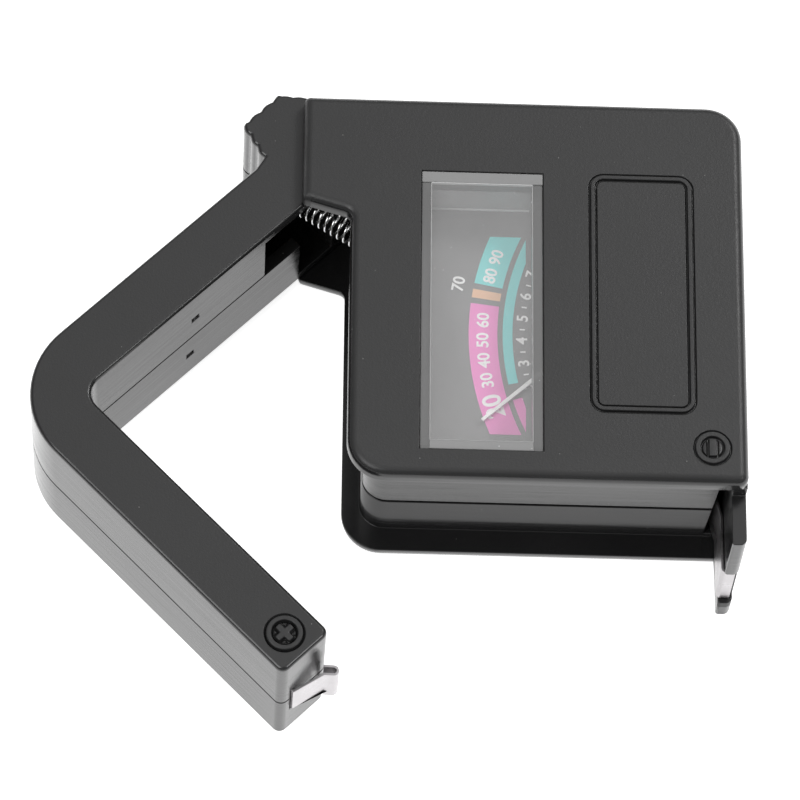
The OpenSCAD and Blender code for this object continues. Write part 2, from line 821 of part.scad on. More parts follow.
// Staff of the moving coil, with a fine tip at each end
module pointer_staff() {
    color(metal)
        union() {
            post([axis_x, axis_y], staff_r, coil_top_z, jewel_front_low - tip_bare);
            post([axis_x, axis_y], staff_tip_r, coil_top_z + 1, jewel_front_low + tip_in_jewel);
            post([axis_x, axis_y], collet_r, coil_top_z, coil_top_z + collet_h);
            post([axis_x, axis_y], staff_r, jewel_rear_top + tip_bare, coil_low_z);
            post([axis_x, axis_y], staff_tip_r, jewel_rear_top - tip_in_jewel, coil_low_z - 0.1);
            post([axis_x, axis_y], collet_r, coil_low_z - collet_h, coil_low_z);
        }
}

// Wound frame that turns in the air gap round the magnet
module moving_coil() {
    color([0.72, 0.42, 0.22])
        translate([axis_x, axis_y, coil_low_z])
            rotate([0, 0, pointer_zero + 90])
                difference() {
                    intersection() {
                        cylinder(r = coil_out_r, h = coil_top_z - coil_low_z);
                        translate([-coil_out_r, -coil_w / 2, 0])
                            cube([2 * coil_out_r, coil_w, coil_top_z - coil_low_z]);
                    }
                    translate([0, 0, coil_bar_t])
                        cylinder(r = coil_in_r, h = magnet_h + 2 * coil_bar_gap);
                }
}

// Needle with a hub, a tail and two balance arms
module pointer() {
    hub_r = 1;
    root_w = 0.62;
    tip_w = 0.4;
    tail = 4.4;
    color([0.92, 0.92, 0.9])
        translate([axis_x, axis_y, pointer_z])
            rotate([0, 0, pointer_zero])
                difference() {
                    union() {
                        cylinder(r = hub_r, h = pointer_t);
                        linear_extrude(pointer_t)
                            polygon([
                                [-tail, -root_w / 2], [0, -root_w / 2], [pointer_len, -tip_w / 2],
                                [pointer_len, tip_w / 2], [0, root_w / 2], [-tail, root_w / 2]]);
                        translate([-root_w / 2, -2.6, 0])
                            cube([root_w, 5.2, pointer_t]);
                        translate([-tail + 0.7, 0, -0.1])
                            cylinder(r = 0.7, h = pointer_t + 0.2);
                        for (s = [-1, 1])
                            translate([0, 2.2 * s, -0.1])
                                cylinder(r = 0.55, h = pointer_t + 0.2);
                    }
                    translate([0, 0, -1])
                        cylinder(r = staff_r + thread_clear, h = 3);
                }
}

// Flat spiral from the staff's collet out to a tag that ends at the given radius
module hairspring(z, tag_end) {
    turns = 3.25;
    start_r = staff_r + 0.65;
    pitch = 0.5;
    strip = 0.12;
    count = 20;
    spiral = [for (i = [0:count * turns]) let (a = 360 * i / count)
        (start_r + pitch * a / 360) * [cos(a), sin(a)]];
    tag_start = start_r + pitch * turns - strip;
    translate([axis_x, axis_y, z])
        linear_extrude(0.4)
            union() {
                polygon(band(spiral, strip));
                translate([-0.2, tag_start])
                    square([0.4, tag_end - tag_start]);
            }
}

module front_hairspring() {
    color(brass)
        hairspring(coil_top_z + 0.75, bridge_leg_r - bridge_leg_t / 2);
}

module rear_hairspring() {
    color(brass)
        hairspring(coil_low_z - 1.15, coil_out_r + 0.4);
}

// ---------- Circuit ----------

board_z = plate_t + 3;
board_t = 1;
board_l = -12;
board_r = 12;
board_b = window_t + 1.6;
board_tp = in_top - 0.5;
board_mid = (board_b + board_tp) / 2;
board_post_in = 2;
board_post_r = 1.2;
board_posts = [[board_l + board_post_in, board_mid], [board_r - board_post_in, board_mid]];
resistor_r = 1.15;
resistor_body = 4.6;
resistor_cap = 1;
resistor_xs = [-6, 0, 6];
anchor_seat_z = plate_t + 1;
anchor_boss_r = 1.3;

module tag_board() {
    color([0.62, 0.44, 0.26])
        block([board_l, board_b, board_z], [board_r, board_tp, board_z + board_t]);
}

// Carbon resistors lying on the board
module load_resistors() {
    color([0.82, 0.74, 0.58])
        for (x = resistor_xs)
            translate([x, board_mid, board_z + board_t + resistor_r])
                rotate([0, 90, 0])
                    translate([0, 0, -resistor_body / 2])
                        union() {
                            cylinder(r = resistor_r * 0.86, h = resistor_body);
                            cylinder(r = resistor_r, h = resistor_cap);
                            translate([0, 0, resistor_body - resistor_cap])
                                cylinder(r = resistor_r, h = resistor_cap);
                        }
}

// Insulated leads from the board to the spring's anchor and to the contacts
module internal_leads() {
    lead_r = 0.45;
    lead_z = board_z + board_t + lead_r;
    bus_x = dial_r + 2;
    strip_x = in_right - 0.5 - strip_t - lead_r;
    disc_x = in_right - 0.4 - lead_r;
    pad_in = 1.6;
    pad_off = (board_tp - board_b) / 5;
    // Heights at which leads pass below the bosses in the upper corners
    under_left_boss = case_screw_places[1].y - boss_r - 2 * lead_r - 2.6;
    under_boss = case_screw_places[2].y - boss_r - 2 * lead_r - 0.6;
    routes = [
        [[anchor.x, anchor.y + post_r, lead_z], [anchor.x, under_left_boss, lead_z],
            [board_l + pad_in, board_mid - pad_off, lead_z]],
        [[board_r - pad_in, board_mid - pad_off, lead_z], [board_r + 2.6, under_boss, lead_z],
            [bus_x, under_boss - 6, lead_z], [bus_x, in_bottom + 7.5, lead_z],
            [strip_x, in_bottom + 5, lead_z + 1], [strip_x, in_bottom + 3, lead_z + 2]],
        [[board_r - pad_in, board_mid + pad_off, lead_z], [bus_x + 1.6, under_boss, lead_z],
            [disc_x, side_contact_places[1][0], lead_z + 2],
            [disc_x, side_contact_places[1][0], side_contact_z + 1]],
        [[bus_x + 2 * lead_r, in_bottom + 14, lead_z], [disc_x, side_contact_places[0][0], lead_z + 2],
            [disc_x, side_contact_places[0][0], side_contact_z + 1]]];
    color([0.7, 0.12, 0.1])
        for (route = routes)
            wire(route, lead_r, 8);
}

// Steel pin in the case that the tension spring hooks over
module spring_anchor() {
    color(metal) {
        post(anchor, post_r, anchor_seat_z + seat_gap, spring_z + post_past_spring);
        post(anchor, post_r + 0.35, spring_z + post_past_spring - eps, spring_z + post_past_spring + 0.4);
    }
}

// Strip that runs out of the case, down the ear and round its tip
module negative_contact() {
    run_x = ear_x - strip_off - strip_t;
    inner_x = in_right - 0.5 - strip_t;
    tip_y = ear_y + notch_depth - strip_off;
    fold_r = 0.7;
    fold_end = 0.9;
    path = concat(
        [[inner_x, in_bottom + 5], [inner_x, wall_bottom + 1], [run_x, wall_bottom - 1.4]],
        [for (a = [180:15:270]) [run_x + fold_r, tip_y] + fold_r * [cos(a), sin(a)]],
        [[run_x + fold_r + fold_end, tip_y - fold_r]]);
    color(metal)
        slab(band(path, strip_t), negative_low_z, negative_high_z);
}

// ---------- Arm ----------

// Points along a line from a to b with bulges of the given height on its right-hand side. The first
// bulge starts part of the way through
function ripples(a, b, count, height, part = 0, steps = 5) =
    let (d = unit(b - a), side = [d.y, -d.x])
    [for (i = [0:count * steps - 1])
        let (p = a + (b - a) * i / (count * steps) + side * height * abs(sin(180 * (i / steps + part))))
        [p.x, p.y, 0]];

tab_top = [-2.8, head_top];
tab_knee = [-7.55, -0.2];
tab_heel = [-7.55, -5.9];
tab_root = [-arm_out - 0.45, -7];

// Outline of the arm when closed, anticlockwise, with the ribbed thumb tab at its head
arm_corners = concat(
    [
        [-arm_out, -arm_depth, bend_r],
        [arm_reach, -arm_depth, 1],
        [arm_reach, -arm_depth + arm_w, 1],
        [arm_in, -arm_depth + arm_w, 2.2],
        [arm_in, head_top, head_top]],
    ripples(tab_top, tab_knee, 4, 0.12),
    ripples(tab_knee, tab_heel, 3, 0.22, 0.4),
    ripples(tab_heel, tab_root, 3, 0.25),
    [[tab_root.x, tab_root.y, 0], [-arm_out, tab_root.y - 1.8, 1.5]]);

// Inside of the arm, from the end limb to the solid round the pivot
hollow_corners = [
    [-arm_out + arm_wall, -arm_depth + arm_wall, bend_r - arm_wall],
    [arm_reach - arm_wall, -arm_depth + arm_wall, 0.4],
    [arm_reach - arm_wall, -arm_depth + arm_w - arm_wall, 0.4],
    [arm_in - arm_wall, -arm_depth + arm_w - arm_wall, 2.2 + arm_wall],
    [arm_in - arm_wall, hollow_top, 0.4],
    [-arm_out + arm_wall, hollow_top, 0.4]];

module place_arm() {
    translate([pivot_x, pivot_y, 0])
        rotate([0, 0, -open_angle])
            children();
}

// Slot through the end wall for the positive contact
module positive_slot() {
    block([arm_reach - arm_wall - 1, -arm_depth + arm_wall - eps, positive_low_z - 0.6],
        [arm_reach + 1, -arm_depth + arm_wall + 2 * strip_off + strip_t, positive_low_z + positive_w + 0.1]);
}

module arm_bosses(z0, z1) {
    for (place = arm_screw_places)
        post(place, arm_boss_r, z0, z1);
}

// Ring and cross of the plus sign, grown all round
module plus_sign(grow = 0) {
    translate([arm_reach - plus_in, -arm_depth + plus_up]) {
        sign_ring(plus_r, grow);
        for (a = [0, 90])
            rotate(a)
                square([plus_w + 2 * grow, plus_len + 2 * grow], center = true);
    }
}

// Small locating pockets in the inner wall of the arm
module arm_pocket(place) {
    block([arm_in - pocket_deep, place[0] - pocket_len / 2, place[1] - pocket_h / 2],
        [arm_in + 1, place[0] + pocket_len / 2, place[1] + pocket_h / 2]);
}

module arm_front_shell() {
    roof_z = arm_high_z - arm_roof_t;
    color(charcoal)
        place_arm()
            difference() {
                union() {
                    difference() {
                        loft(rounded_top(arm_corners, arm_parting_z, arm_high_z, arm_edge_r, 3));
                        // Hollow between the roof and the joint
                        slab(outline(hollow_corners), arm_parting_z - 1, roof_z);
                        // Side opening that the tension spring swings through
                        block([arm_in - arm_wall - 1, front_mouth_y, arm_parting_z - 1],
                            [arm_in + 1, hollow_top, roof_z]);
                    }
                    intersection() {
                        arm_bosses(arm_parting_z + seat_gap, roof_z + eps);
                        slab(outline(arm_corners, arm_wall / 2), arm_parting_z, arm_high_z);
                    }
                    post(arm_post, post_r, spring_z - post_past_spring, roof_z + eps);
                    raised(arm_high_z)
                        plus_sign();
                }
                moat(arm_high_z) {
                    plus_sign(moat_w);
                    plus_sign();
                }
                post([0, 0], pin_r + pin_clear, arm_parting_z - 1, arm_high_z + 1);
                for (place = arm_screw_places)
                    post(place, arm_screw_r + thread_clear, arm_parting_z - 1,
                        arm_low_z + head_sunk + arm_head_h + arm_screw_len + 0.4);
                positive_slot();
                arm_pocket(front_pocket);
            }
}

module arm_rear_shell() {
    floor_z = arm_low_z + arm_roof_t;
    color(charcoal)
        place_arm()
            difference() {
                union() {
                    difference() {
                        loft(rounded_bottom(arm_corners, arm_low_z, arm_parting_z, arm_edge_r, 3));
                        slab(outline(hollow_corners), floor_z, arm_parting_z + 1);
                        block([arm_in - arm_wall - 1, rear_mouth_y, floor_z],
                            [arm_in + 1, hollow_top, arm_parting_z + 1]);
                    }
                    intersection() {
                        arm_bosses(floor_z - eps, arm_parting_z);
                        slab(outline(arm_corners, arm_wall / 2), arm_low_z, arm_parting_z);
                    }
                }
                post([0, 0], pin_r + pin_clear, arm_low_z - 1, arm_parting_z + 1);
                for (place = arm_screw_places) {
                    post(place, arm_screw_r + screw_hole_clear, arm_low_z - 1, arm_parting_z + 1);
                    post(place, arm_head_r + screw_hole_clear, arm_low_z - 1,
                        arm_low_z + head_sunk + arm_head_h);
                }
                positive_slot();
                arm_pocket(rear_pocket);
            }
}

module arm_screws() {
    color(metal)
        place_arm()
            for (place = arm_screw_places)
                translate([place.x, place.y, arm_low_z + head_sunk])
                    screw(arm_screw_r, arm_screw_len, arm_head_r, arm_head_h);
}

// Strip that leaves the arm's end, stands off it, bends outwards and curls back into a rounded nose
module positive_contact() {
    floor_y = -arm_depth + arm_wall + strip_off;
    bend = [arm_reach + 1.2, -arm_depth + 5.55];
    nose_r = 0.62;
    nose_heading = 42.8;
    nose_leg = 1;
    strip_tail = 7;
    along = [cos(nose_heading), sin(nose_heading)];
    nose = bend + nose_leg * along + nose_r * [-along.y, along.x];
    // The bend stands off the end wall by the strip's thickness
    tail = [[arm_reach - strip_tail, floor_y], [arm_reach + strip_t + strip_off, floor_y]];
    curl = concat(
        [bend],
        [for (a = [-90:15:90]) nose + nose_r * [cos(a + nose_heading), sin(a + nose_heading)]],
        [nose + nose_r * [-along.y, along.x] - 1.15 * nose_leg * along]);
    color(metal)
        place_arm() {
            slab(band(concat(tail, curl), strip_t), positive_low_z, positive_low_z + positive_w);
            // The curl is deeper than the strip
            slab(band(curl, strip_t), positive_low_z - curl_drop, positive_low_z + positive_w);
        }
}

// Strip along the inside of the outer wall that joins the positive contact to the spring's post
module arm_conductor() {
    inset = arm_wall + strip_off + strip_t;
    width = 3;
    left = -arm_out + inset;
    low = -arm_depth + inset;
    turn_r = bend_r - inset;
    bend = [left + turn_r, low + turn_r];
    tab_w = 1.8;
    eyelet_z = spring_z - spring_wire / 2 - strip_t - 0.35;
    path = concat(
        [[left, arm_post.y + tab_w / 2]],
        [for (a = [180:15:270]) bend + turn_r * [cos(a), sin(a)]],
        [[arm_reach - 4.5, low]]);
    color(brass)
        place_arm()
            difference() {
                union() {
                    slab(band(path, strip_t), arm_parting_z - width / 2, arm_parting_z + width / 2);
                    block([left, arm_post.y - tab_w / 2, arm_parting_z],
                        [left + strip_t, arm_post.y + tab_w / 2, eyelet_z + strip_t]);
                    block([left, arm_post.y - tab_w / 2, eyelet_z],
                        [arm_post.x, arm_post.y + tab_w / 2, eyelet_z + strip_t]);
                    post(arm_post, tab_w / 2, eyelet_z, eyelet_z + strip_t);
                }
                post(arm_post, post_r + thread_clear, eyelet_z - 1, eyelet_z + 1);
            }
}

// ---------- Tension spring ----------

arm_post_at = [pivot_x, pivot_y] + turn(arm_post, -open_angle);

// Closed hook round a post at the origin, opening along +X
function hook(turns_dir) = [for (a = [60:25:335])
    [hook_r * cos(a), turns_dir * hook_r * sin(a), 0]];

module tension_spring() {
    span = norm(anchor - arm_post_at);
    heading = atan2(anchor.y - arm_post_at.y, anchor.x - arm_post_at.x);
    coil_r = (spring_od - spring_wire) / 2;
    neck = hook_r + 0.5;
    per_turn = 12;
    length = span - 2 * neck;
    coil = [for (i = [0:spring_turns * per_turn])
        let (a = 360 * i / per_turn, f = i / (spring_turns * per_turn))
        let (grow = min(1, 0.1 + 2 * i / per_turn, 0.1 + 2 * (spring_turns * per_turn - i) / per_turn))
        [neck + length * f, coil_r * grow * cos(a), coil_r * grow * sin(a)]];
    start = hook(1);
    end = [for (i = [len(start) - 1:-1:0]) [span - start[i].x, -start[i].y, 0]];
    color(metal)
        translate([arm_post_at.x, arm_post_at.y, spring_z])
            rotate([0, 0, heading])
                wire(concat(start, coil, end), spring_wire / 2);
}

front_case();
rear_case();
window_lens();
dial_plate();
meter_frame();
meter_magnet();
meter_ring();
magnet_clips();
meter_bridge();
jewel_screws();
dial_screws();
tag_board();
load_resistors();
internal_leads();
spring_anchor();
negative_contact();
side_contacts();
case_screws();
pivot_pin();
front_hairspring();
rear_hairspring();
pointer();
pointer_staff();
moving_coil();
arm_front_shell();
arm_rear_shell();
arm_screws();
positive_contact();
arm_conductor();
tension_spring();
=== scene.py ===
"""Dresses the pocket battery tester and stands it in a plain studio.

Every length is in millimetres until a mesh is made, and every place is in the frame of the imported
model: X runs to the right of the face, Y up the face and Z out of it, with the origin in the middle
of the rear plate.
"""

import json
import logging
import math
from dataclasses import dataclass, field
from enum import Enum
from functools import partial
from typing import Any, Sequence

import bmesh
import bpy
from bpy.types import ID, Material, Mesh, Node, NodeSocket, NodeTree, Object
from mathutils import Matrix, Vector

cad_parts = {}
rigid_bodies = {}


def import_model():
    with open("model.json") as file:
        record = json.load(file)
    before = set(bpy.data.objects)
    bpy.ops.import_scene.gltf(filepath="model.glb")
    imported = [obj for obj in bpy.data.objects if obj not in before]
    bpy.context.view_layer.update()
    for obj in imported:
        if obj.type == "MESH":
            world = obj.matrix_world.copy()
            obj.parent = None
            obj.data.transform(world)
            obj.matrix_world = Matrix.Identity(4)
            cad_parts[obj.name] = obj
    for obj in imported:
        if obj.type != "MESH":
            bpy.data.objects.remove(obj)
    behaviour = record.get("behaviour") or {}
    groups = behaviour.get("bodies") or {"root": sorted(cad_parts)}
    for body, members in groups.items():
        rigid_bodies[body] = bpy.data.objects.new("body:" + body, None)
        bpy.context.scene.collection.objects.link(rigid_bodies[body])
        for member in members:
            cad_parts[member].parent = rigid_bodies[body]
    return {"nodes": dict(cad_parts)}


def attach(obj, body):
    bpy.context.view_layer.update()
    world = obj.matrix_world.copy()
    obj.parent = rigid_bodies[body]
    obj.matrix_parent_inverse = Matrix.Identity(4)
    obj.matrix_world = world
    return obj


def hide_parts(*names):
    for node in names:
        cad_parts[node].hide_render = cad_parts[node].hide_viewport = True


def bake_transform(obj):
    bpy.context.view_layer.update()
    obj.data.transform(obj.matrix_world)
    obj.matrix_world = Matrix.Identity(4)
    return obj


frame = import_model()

MM = 0.001
log = logging.getLogger("battery_tester")

Point = tuple[float, float]
Span = tuple[float, float]
Triple = tuple[float, float, float]
Four = tuple[float, float, float, float]
Colour = tuple[float, float, float]


class Body(Enum):
    """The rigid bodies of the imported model."""

    CASE = "body"
    ARM = "arm"
    NEEDLE = "pointer"


class Slot(Enum):
    """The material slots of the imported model."""

    CASE = "case_plastic"
    ARM = "arm_plastic"
    LENS = "lens"
    DIAL = "dial"
    NEEDLE = "needle"
    CONTACT = "contact"
    STEEL = "steel"
    SPRING = "spring_steel"


class Side(Enum):
    """The sides of the window, in the order in which its sizes are given."""

    LEFT = "left"
    RIGHT = "right"
    LOWER = "lower"
    UPPER = "upper"


# ---- node trees


class Wire:
    """An output socket of a node that takes part in arithmetic."""

    def __init__(self, graph: "Graph", socket: NodeSocket) -> None:
        """Keeps the socket and the tree that it is in."""
        self.graph = graph
        self.socket = socket

    def maths(self, operation: str, *others: "Wire | float") -> "Wire":
        """Returns the result of a Math node over this wire and the other operands."""
        return self.graph.maths(operation, self, *others)

    def clamped(self) -> "Wire":
        """Returns the value kept between 0 and 1."""
        return self.maths("MINIMUM", 1.0).maths("MAXIMUM", 0.0)

    def __add__(self, other: "Wire | float") -> "Wire":
        """Returns self + other."""
        return self.maths("ADD", other)

    def __radd__(self, other: float) -> "Wire":
        """Returns other + self."""
        return self.graph.maths("ADD", other, self)

    def __sub__(self, other: "Wire | float") -> "Wire":
        """Returns self - other."""
        return self.maths("SUBTRACT", other)

    def __rsub__(self, other: float) -> "Wire":
        """Returns other - self."""
        return self.graph.maths("SUBTRACT", other, self)

    def __mul__(self, other: "Wire | float") -> "Wire":
        """Returns self * other."""
        return self.maths("MULTIPLY", other)

    def __rmul__(self, other: float) -> "Wire":
        """Returns other * self."""
        return self.graph.maths("MULTIPLY", other, self)

    def __truediv__(self, other: "Wire | float") -> "Wire":
        """Returns self / other."""
        return self.maths("DIVIDE", other)


class Graph:
    """A shader or geometry tree whose maths is written as Python expressions."""

    def __init__(self, tree: NodeTree) -> None:
        """Takes over a tree."""
        self.tree = tree

    def node(
        self,
        kind: str,
        settings: dict[str, Any] | None = None,
        inputs: dict[str | int, Any] | None = None,
    ) -> Node:
        """Adds a node.

        Args:
            kind: the node's type, such as "ShaderNodeTexNoise".
            settings: properties that are set first.
            inputs: what the sockets take, by name or number.

        Returns:
            The node.
        """
        made = self.tree.nodes.new(kind)
        for name, value in (settings or {}).items():
            setattr(made, name, value)
        for key, value in (inputs or {}).items():
            self.feed(made.inputs[key], value)
        return made

    def feed(self, socket: NodeSocket, value: Any) -> None:
        """Gives a socket what it takes.

        Args:
            socket: the socket.
            value: a constant, a wire, or a list of wires for a socket that takes several.
        """
        for item in value if isinstance(value, list) else [value]:
            if isinstance(item, Wire):
                self.tree.links.new(item.socket, socket)
            else:
                socket.default_value = (*item, 1.0) if socket.type == "RGBA" else item

    def out(self, node: Node, socket: str | int = 0) -> Wire:
        """Returns an output of a node as a wire."""
        return Wire(self, node.outputs[socket])

    def maths(self, operation: str, *operands: "Wire | float") -> Wire:
        """Adds a Math node over wires and numbers and returns its result."""
        inputs = dict(enumerate(operands))
        return self.out(self.node("ShaderNodeMath", {"operation": operation}, inputs))

    def combine(self, x: "Wire | float", y: "Wire | float", z: "Wire | float") -> Wire:
        """Returns the vector with those coordinates."""
        return self.out(self.node("ShaderNodeCombineXYZ", None, {0: x, 1: y, 2: z}))

    def mix(self, factor: "Wire | float", a: "Wire | Colour", b: "Wire | Colour") -> Wire:
        """Returns two colours mixed, with a factor for the share of the second."""
        made = self.node("ShaderNodeMix", {"data_type": "RGBA"}, {0: factor, 6: a, 7: b})
        return self.out(made, 2)


class Surface(Graph):
    """The tree of one material, with a Principled shader at its end."""

    def __init__(self, name: str) -> None:
        """Makes an empty material.

        Args:
            name: the material's name.
        """
        self.material = bpy.data.materials.new(name)
        self.material.use_nodes = True
        super().__init__(self.material.node_tree)
        self.tree.nodes.clear()
        self.shader = self.node("ShaderNodeBsdfPrincipled")
        self.node("ShaderNodeOutputMaterial", None, {0: self.out(self.shader)})
        self.place = self.out(self.node("ShaderNodeTexCoord"), "Object")

    def scaled(self, cell: float | Triple) -> Wire:
        """Returns the object's coordinates in cells of a size, or of a size each way, in mm."""
        scale = tuple(1 / (MM * s) for s in (cell if isinstance(cell, tuple) else (cell,) * 3))
        return self.out(self.node("ShaderNodeMapping", None, {0: self.place, "Scale": scale}))

    def coordinate(self, axis: int) -> Wire:
        """Returns the object's coordinate along an axis in millimetres."""
        return self.out(self.node("ShaderNodeSeparateXYZ", None, {0: self.place}), axis) / MM

    def height(self) -> Wire:
        """Returns the height over the rear plate in millimetres."""
        return self.coordinate(2)

    def above(self, level: float, fade: float) -> Wire:
        """Returns 1 above a height and 0 below it, with a fade between, all in millimetres."""
        return ((self.height() - (level - fade)) / fade).clamped()

    def left_of(self, limit: float, fade: float) -> Wire:
        """Returns 1 left of a place and 0 right of it, with a fade between, all in millimetres."""
        return ((limit + fade - self.coordinate(0)) / fade).clamped()

    def noise(self, cell: float | Triple, detail: float, roughness: float) -> Wire:
        """Returns noise from 0 to 1 with features about one cell across."""
        inputs = {0: self.scaled(cell), "Scale": 1.0, "Detail": detail, "Roughness": roughness}
        return self.out(self.node("ShaderNodeTexNoise", None, inputs))

    def specks(self, dust: "Dust") -> Wire:
        """Scatters round specks.

        Args:
            dust: their size and number.

        Returns:
            A mask that is 1 inside them.
        """
        inputs = {"Vector": self.scaled(dust.cell), "Scale": 1.0}
        cells = self.node("ShaderNodeTexVoronoi", None, inputs)
        inside = self.out(cells, "Distance").maths("LESS_THAN", dust.radius)
        split = self.node("ShaderNodeSeparateColor", None, {0: self.out(cells, "Color")})
        return inside * self.out(split).maths("GREATER_THAN", dust.rarity)

    def set(self, name: str, value: "Wire | Colour | float") -> None:
        """Sets a constant, or links a wire, on one of the shader's sockets."""
        self.feed(self.shader.inputs[name], value)

    def bump(self, height: Wire) -> None:
        """Feeds a height in millimetres to the normal."""
        made = self.node("ShaderNodeBump", None, {"Distance": MM, "Height": height})
        self.set("Normal", self.out(made))


class Recipe(Graph):
    """A geometry tree with named inputs that is run once and baked to a plain mesh."""

    def __init__(self, name: str, inputs: dict[str, str]) -> None:
        """Makes the tree.

        Args:
            name: the tree's name.
            inputs: the kind of socket of each named input, such as "Float".
        """
        super().__init__(bpy.data.node_groups.new(name, "GeometryNodeTree"))
        face = self.tree.interface
        self.ids: dict[str, str] = {}
        for label, kind in inputs.items():
            socket = face.new_socket(label, in_out="INPUT", socket_type="NodeSocket" + kind)
            self.ids[label] = socket.identifier
        face.new_socket("Mesh", in_out="OUTPUT", socket_type="NodeSocketGeometry")
        self.entry = self.node("NodeGroupInput")

    def given(self, label: str) -> Wire:
        """Returns a named input as a wire."""
        return self.out(self.entry, label)

    def geometry(self, kind: str, **inputs: Any) -> Wire:
        """Adds a geometry node, with _ for a space in its inputs, and returns its first output."""
        named = {key.replace("_", " "): value for key, value in inputs.items()}
        return self.out(self.node("GeometryNode" + kind, None, named))

    def boolean(self, operation: str, inputs: dict[int, Any]) -> Wire:
        """Returns the mesh of socket 0 cut by those of socket 1, or the latter crossed."""
        settings = {"operation": operation, "solver": "EXACT"}
        return self.out(self.node("GeometryNodeMeshBoolean", settings, inputs))

    def end(self, mesh: Wire) -> None:
        """Ends the tree with real instances and the given material.

        Args:
            mesh: what the tree has made.
        """
        real = self.geometry("RealizeInstances", Geometry=mesh)
        dressed = self.geometry("SetMaterial", Geometry=real, Material=self.given("Material"))
        self.node("NodeGroupOutput", None, {0: dressed})

    def bake(self, name: str, **values: Any) -> Object:
        """Runs the tree.

        Args:
            name: the name of the plain object.
            values: the value of each input; an underscore in a name stands for a space.

        Returns:
            The plain object, at the origin.
        """
        rough = link(name + "_rough", bpy.data.meshes.new(name + "_rough"))
        modifier = rough.modifiers.new("recipe", "NODES")
        modifier.node_group = self.tree
        for label, value in values.items():
            modifier[self.ids[label.replace("_", " ")]] = value
        return baked(rough, name)


# ---- finishes


def linear(code: str) -> Colour:
    """Reads a screen colour.

    Args:
        code: its hexadecimal digits, such as "84c4bf".

    Returns:
        The linear colour.
    """
    channels = (int(code[i : i + 2], 16) / 255 for i in (0, 2, 4))
    red, green, blue = (
        c / 12.92 if c <= 0.04045 else ((c + 0.055) / 1.055) ** 2.4 for c in channels
    )
    return (red, green, blue)


def tinted(colour: Colour, share: float, lift: float = 0.0) -> Colour:
    """Returns a colour made darker or lighter by a share and a lift."""
    red, green, blue = (min(1.0, channel * share + lift) for channel in colour)
    return (red, green, blue)


@dataclass(frozen=True)
class Dust:
    """Sparse specks: the cell that may hold one, its radius in it, and the share left empty."""

    cell: float
    radius: float
    rarity: float
    colour: Colour


@dataclass(frozen=True)
class MouldedPlastic:
    """Opaque moulded plastic with a fine spark-eroded grain, handling marks and specks of dust.

    Above its face level it is grained, and below it its walls are polished and streaked along their
    length. Left of its matt limit it is grained all over. Where two mouldings meet, at its seam
    level, the joint is painted dark and roughened: painted shade for the shadow in the parting
    groove.
    """

    name: str
    colour: Colour
    roughness: float = 0.44
    wall_roughness: float = 0.2
    specular: float = 0.5
    grain: float = 0.28
    grain_depth: float = 0.03
    cloud: float = 14.0
    scuff: Triple = (0.5, 5.0, 2.0)
    streak: Triple = (16.0, 16.0, 0.35)
    dust: Dust = Dust(1.3, 0.045, 0.86, (0.32, 0.32, 0.31))
    dust_strength: float = 0.5
    face_level: float = 100.0
    face_fade: float = 0.3
    matt_left: float = -100.0
    matt_fade: float = 0.2
    seam_level: float = -100.0
    seam_w: float = 0.22
    # painted shade: the colour of the seam line stands in for the shadow in the parting groove
    seam_dirt: Colour = (0.002, 0.002, 0.002)
    seam_roughness: float = 0.95
    draft_deg: float = 0.0
    draft_from: float = 2.2

    def material(self) -> Material:
        """Makes the finish.

        Returns:
            The material.
        """
        s = Surface(self.name)
        fine = s.noise(self.grain, 3.0, 0.65)
        cloud = s.noise(self.cloud, 3.0, 0.55)
        scuff = s.noise(self.scuff, 4.0, 0.7)
        streak = s.noise(self.streak, 4.0, 0.6)
        matt = s.left_of(self.matt_left, self.matt_fade)
        face = s.above(self.face_level, self.face_fade).maths("MAXIMUM", matt)
        wall = 1.0 - face
        # painted shade along the seam: a dark band within seam_w of the seam level, also roughened
        off_seam = (s.height() - self.seam_level).maths("ABSOLUTE")
        painted_shade = (2.0 - off_seam * (2.0 / self.seam_w)).clamped()
        lighter = tinted(self.colour, 1.3, 0.003)
        plain = s.mix(cloud * 0.7 + fine * 0.3, tinted(self.colour, 0.8), lighter)
        specks = s.specks(self.dust) * self.dust_strength
        s.set("Base Color", s.mix(specks, s.mix(painted_shade, plain, self.seam_dirt), self.dust.colour))
        grained = self.roughness + (cloud - 0.5) * 0.10 + (scuff - 0.5) * 0.12
        polished = self.wall_roughness + (streak - 0.5) * 0.35
        clean = grained * face + polished * wall + specks * 0.2
        s.set("Roughness", clean * (1.0 - painted_shade) + painted_shade * self.seam_roughness)
        s.set("Specular IOR Level", self.specular)
        grain = (fine * 0.8 + scuff * 0.2) * face + (streak * 0.5 + fine * 0.06) * wall
        rise = (s.height() - self.draft_from).maths("MAXIMUM", 0.0)
        s.bump(grain * self.grain_depth - rise * math.tan(math.radians(self.draft_deg)))
        return s.material


@dataclass(frozen=True)
class PlatedStrip:
    """Bright metal with rolling lines along one axis and soft stains."""

    name: str
    colour: Colour
    roughness: float = 0.22
    lines: Triple = (4.0, 0.08, 0.08)
    line_depth: float = 0.004
    stain: float = 2.2
    stain_tint: float = 0.72

    def material(self) -> Material:
        """Makes the finish.

        Returns:
            The material.
        """
        s = Surface(self.name)
        rolled = s.noise(self.lines, 3.0, 0.6)
        stain = s.noise(self.stain, 3.0, 0.6)
        s.set("Base Color", s.mix(stain * 0.55, self.colour, tinted(self.colour, self.stain_tint)))
        s.set("Metallic", 1.0)
        s.set("Roughness", self.roughness + (stain - 0.5) * 0.16 + (rolled - 0.5) * 0.14)
        s.bump(rolled * self.line_depth)
        return s.material


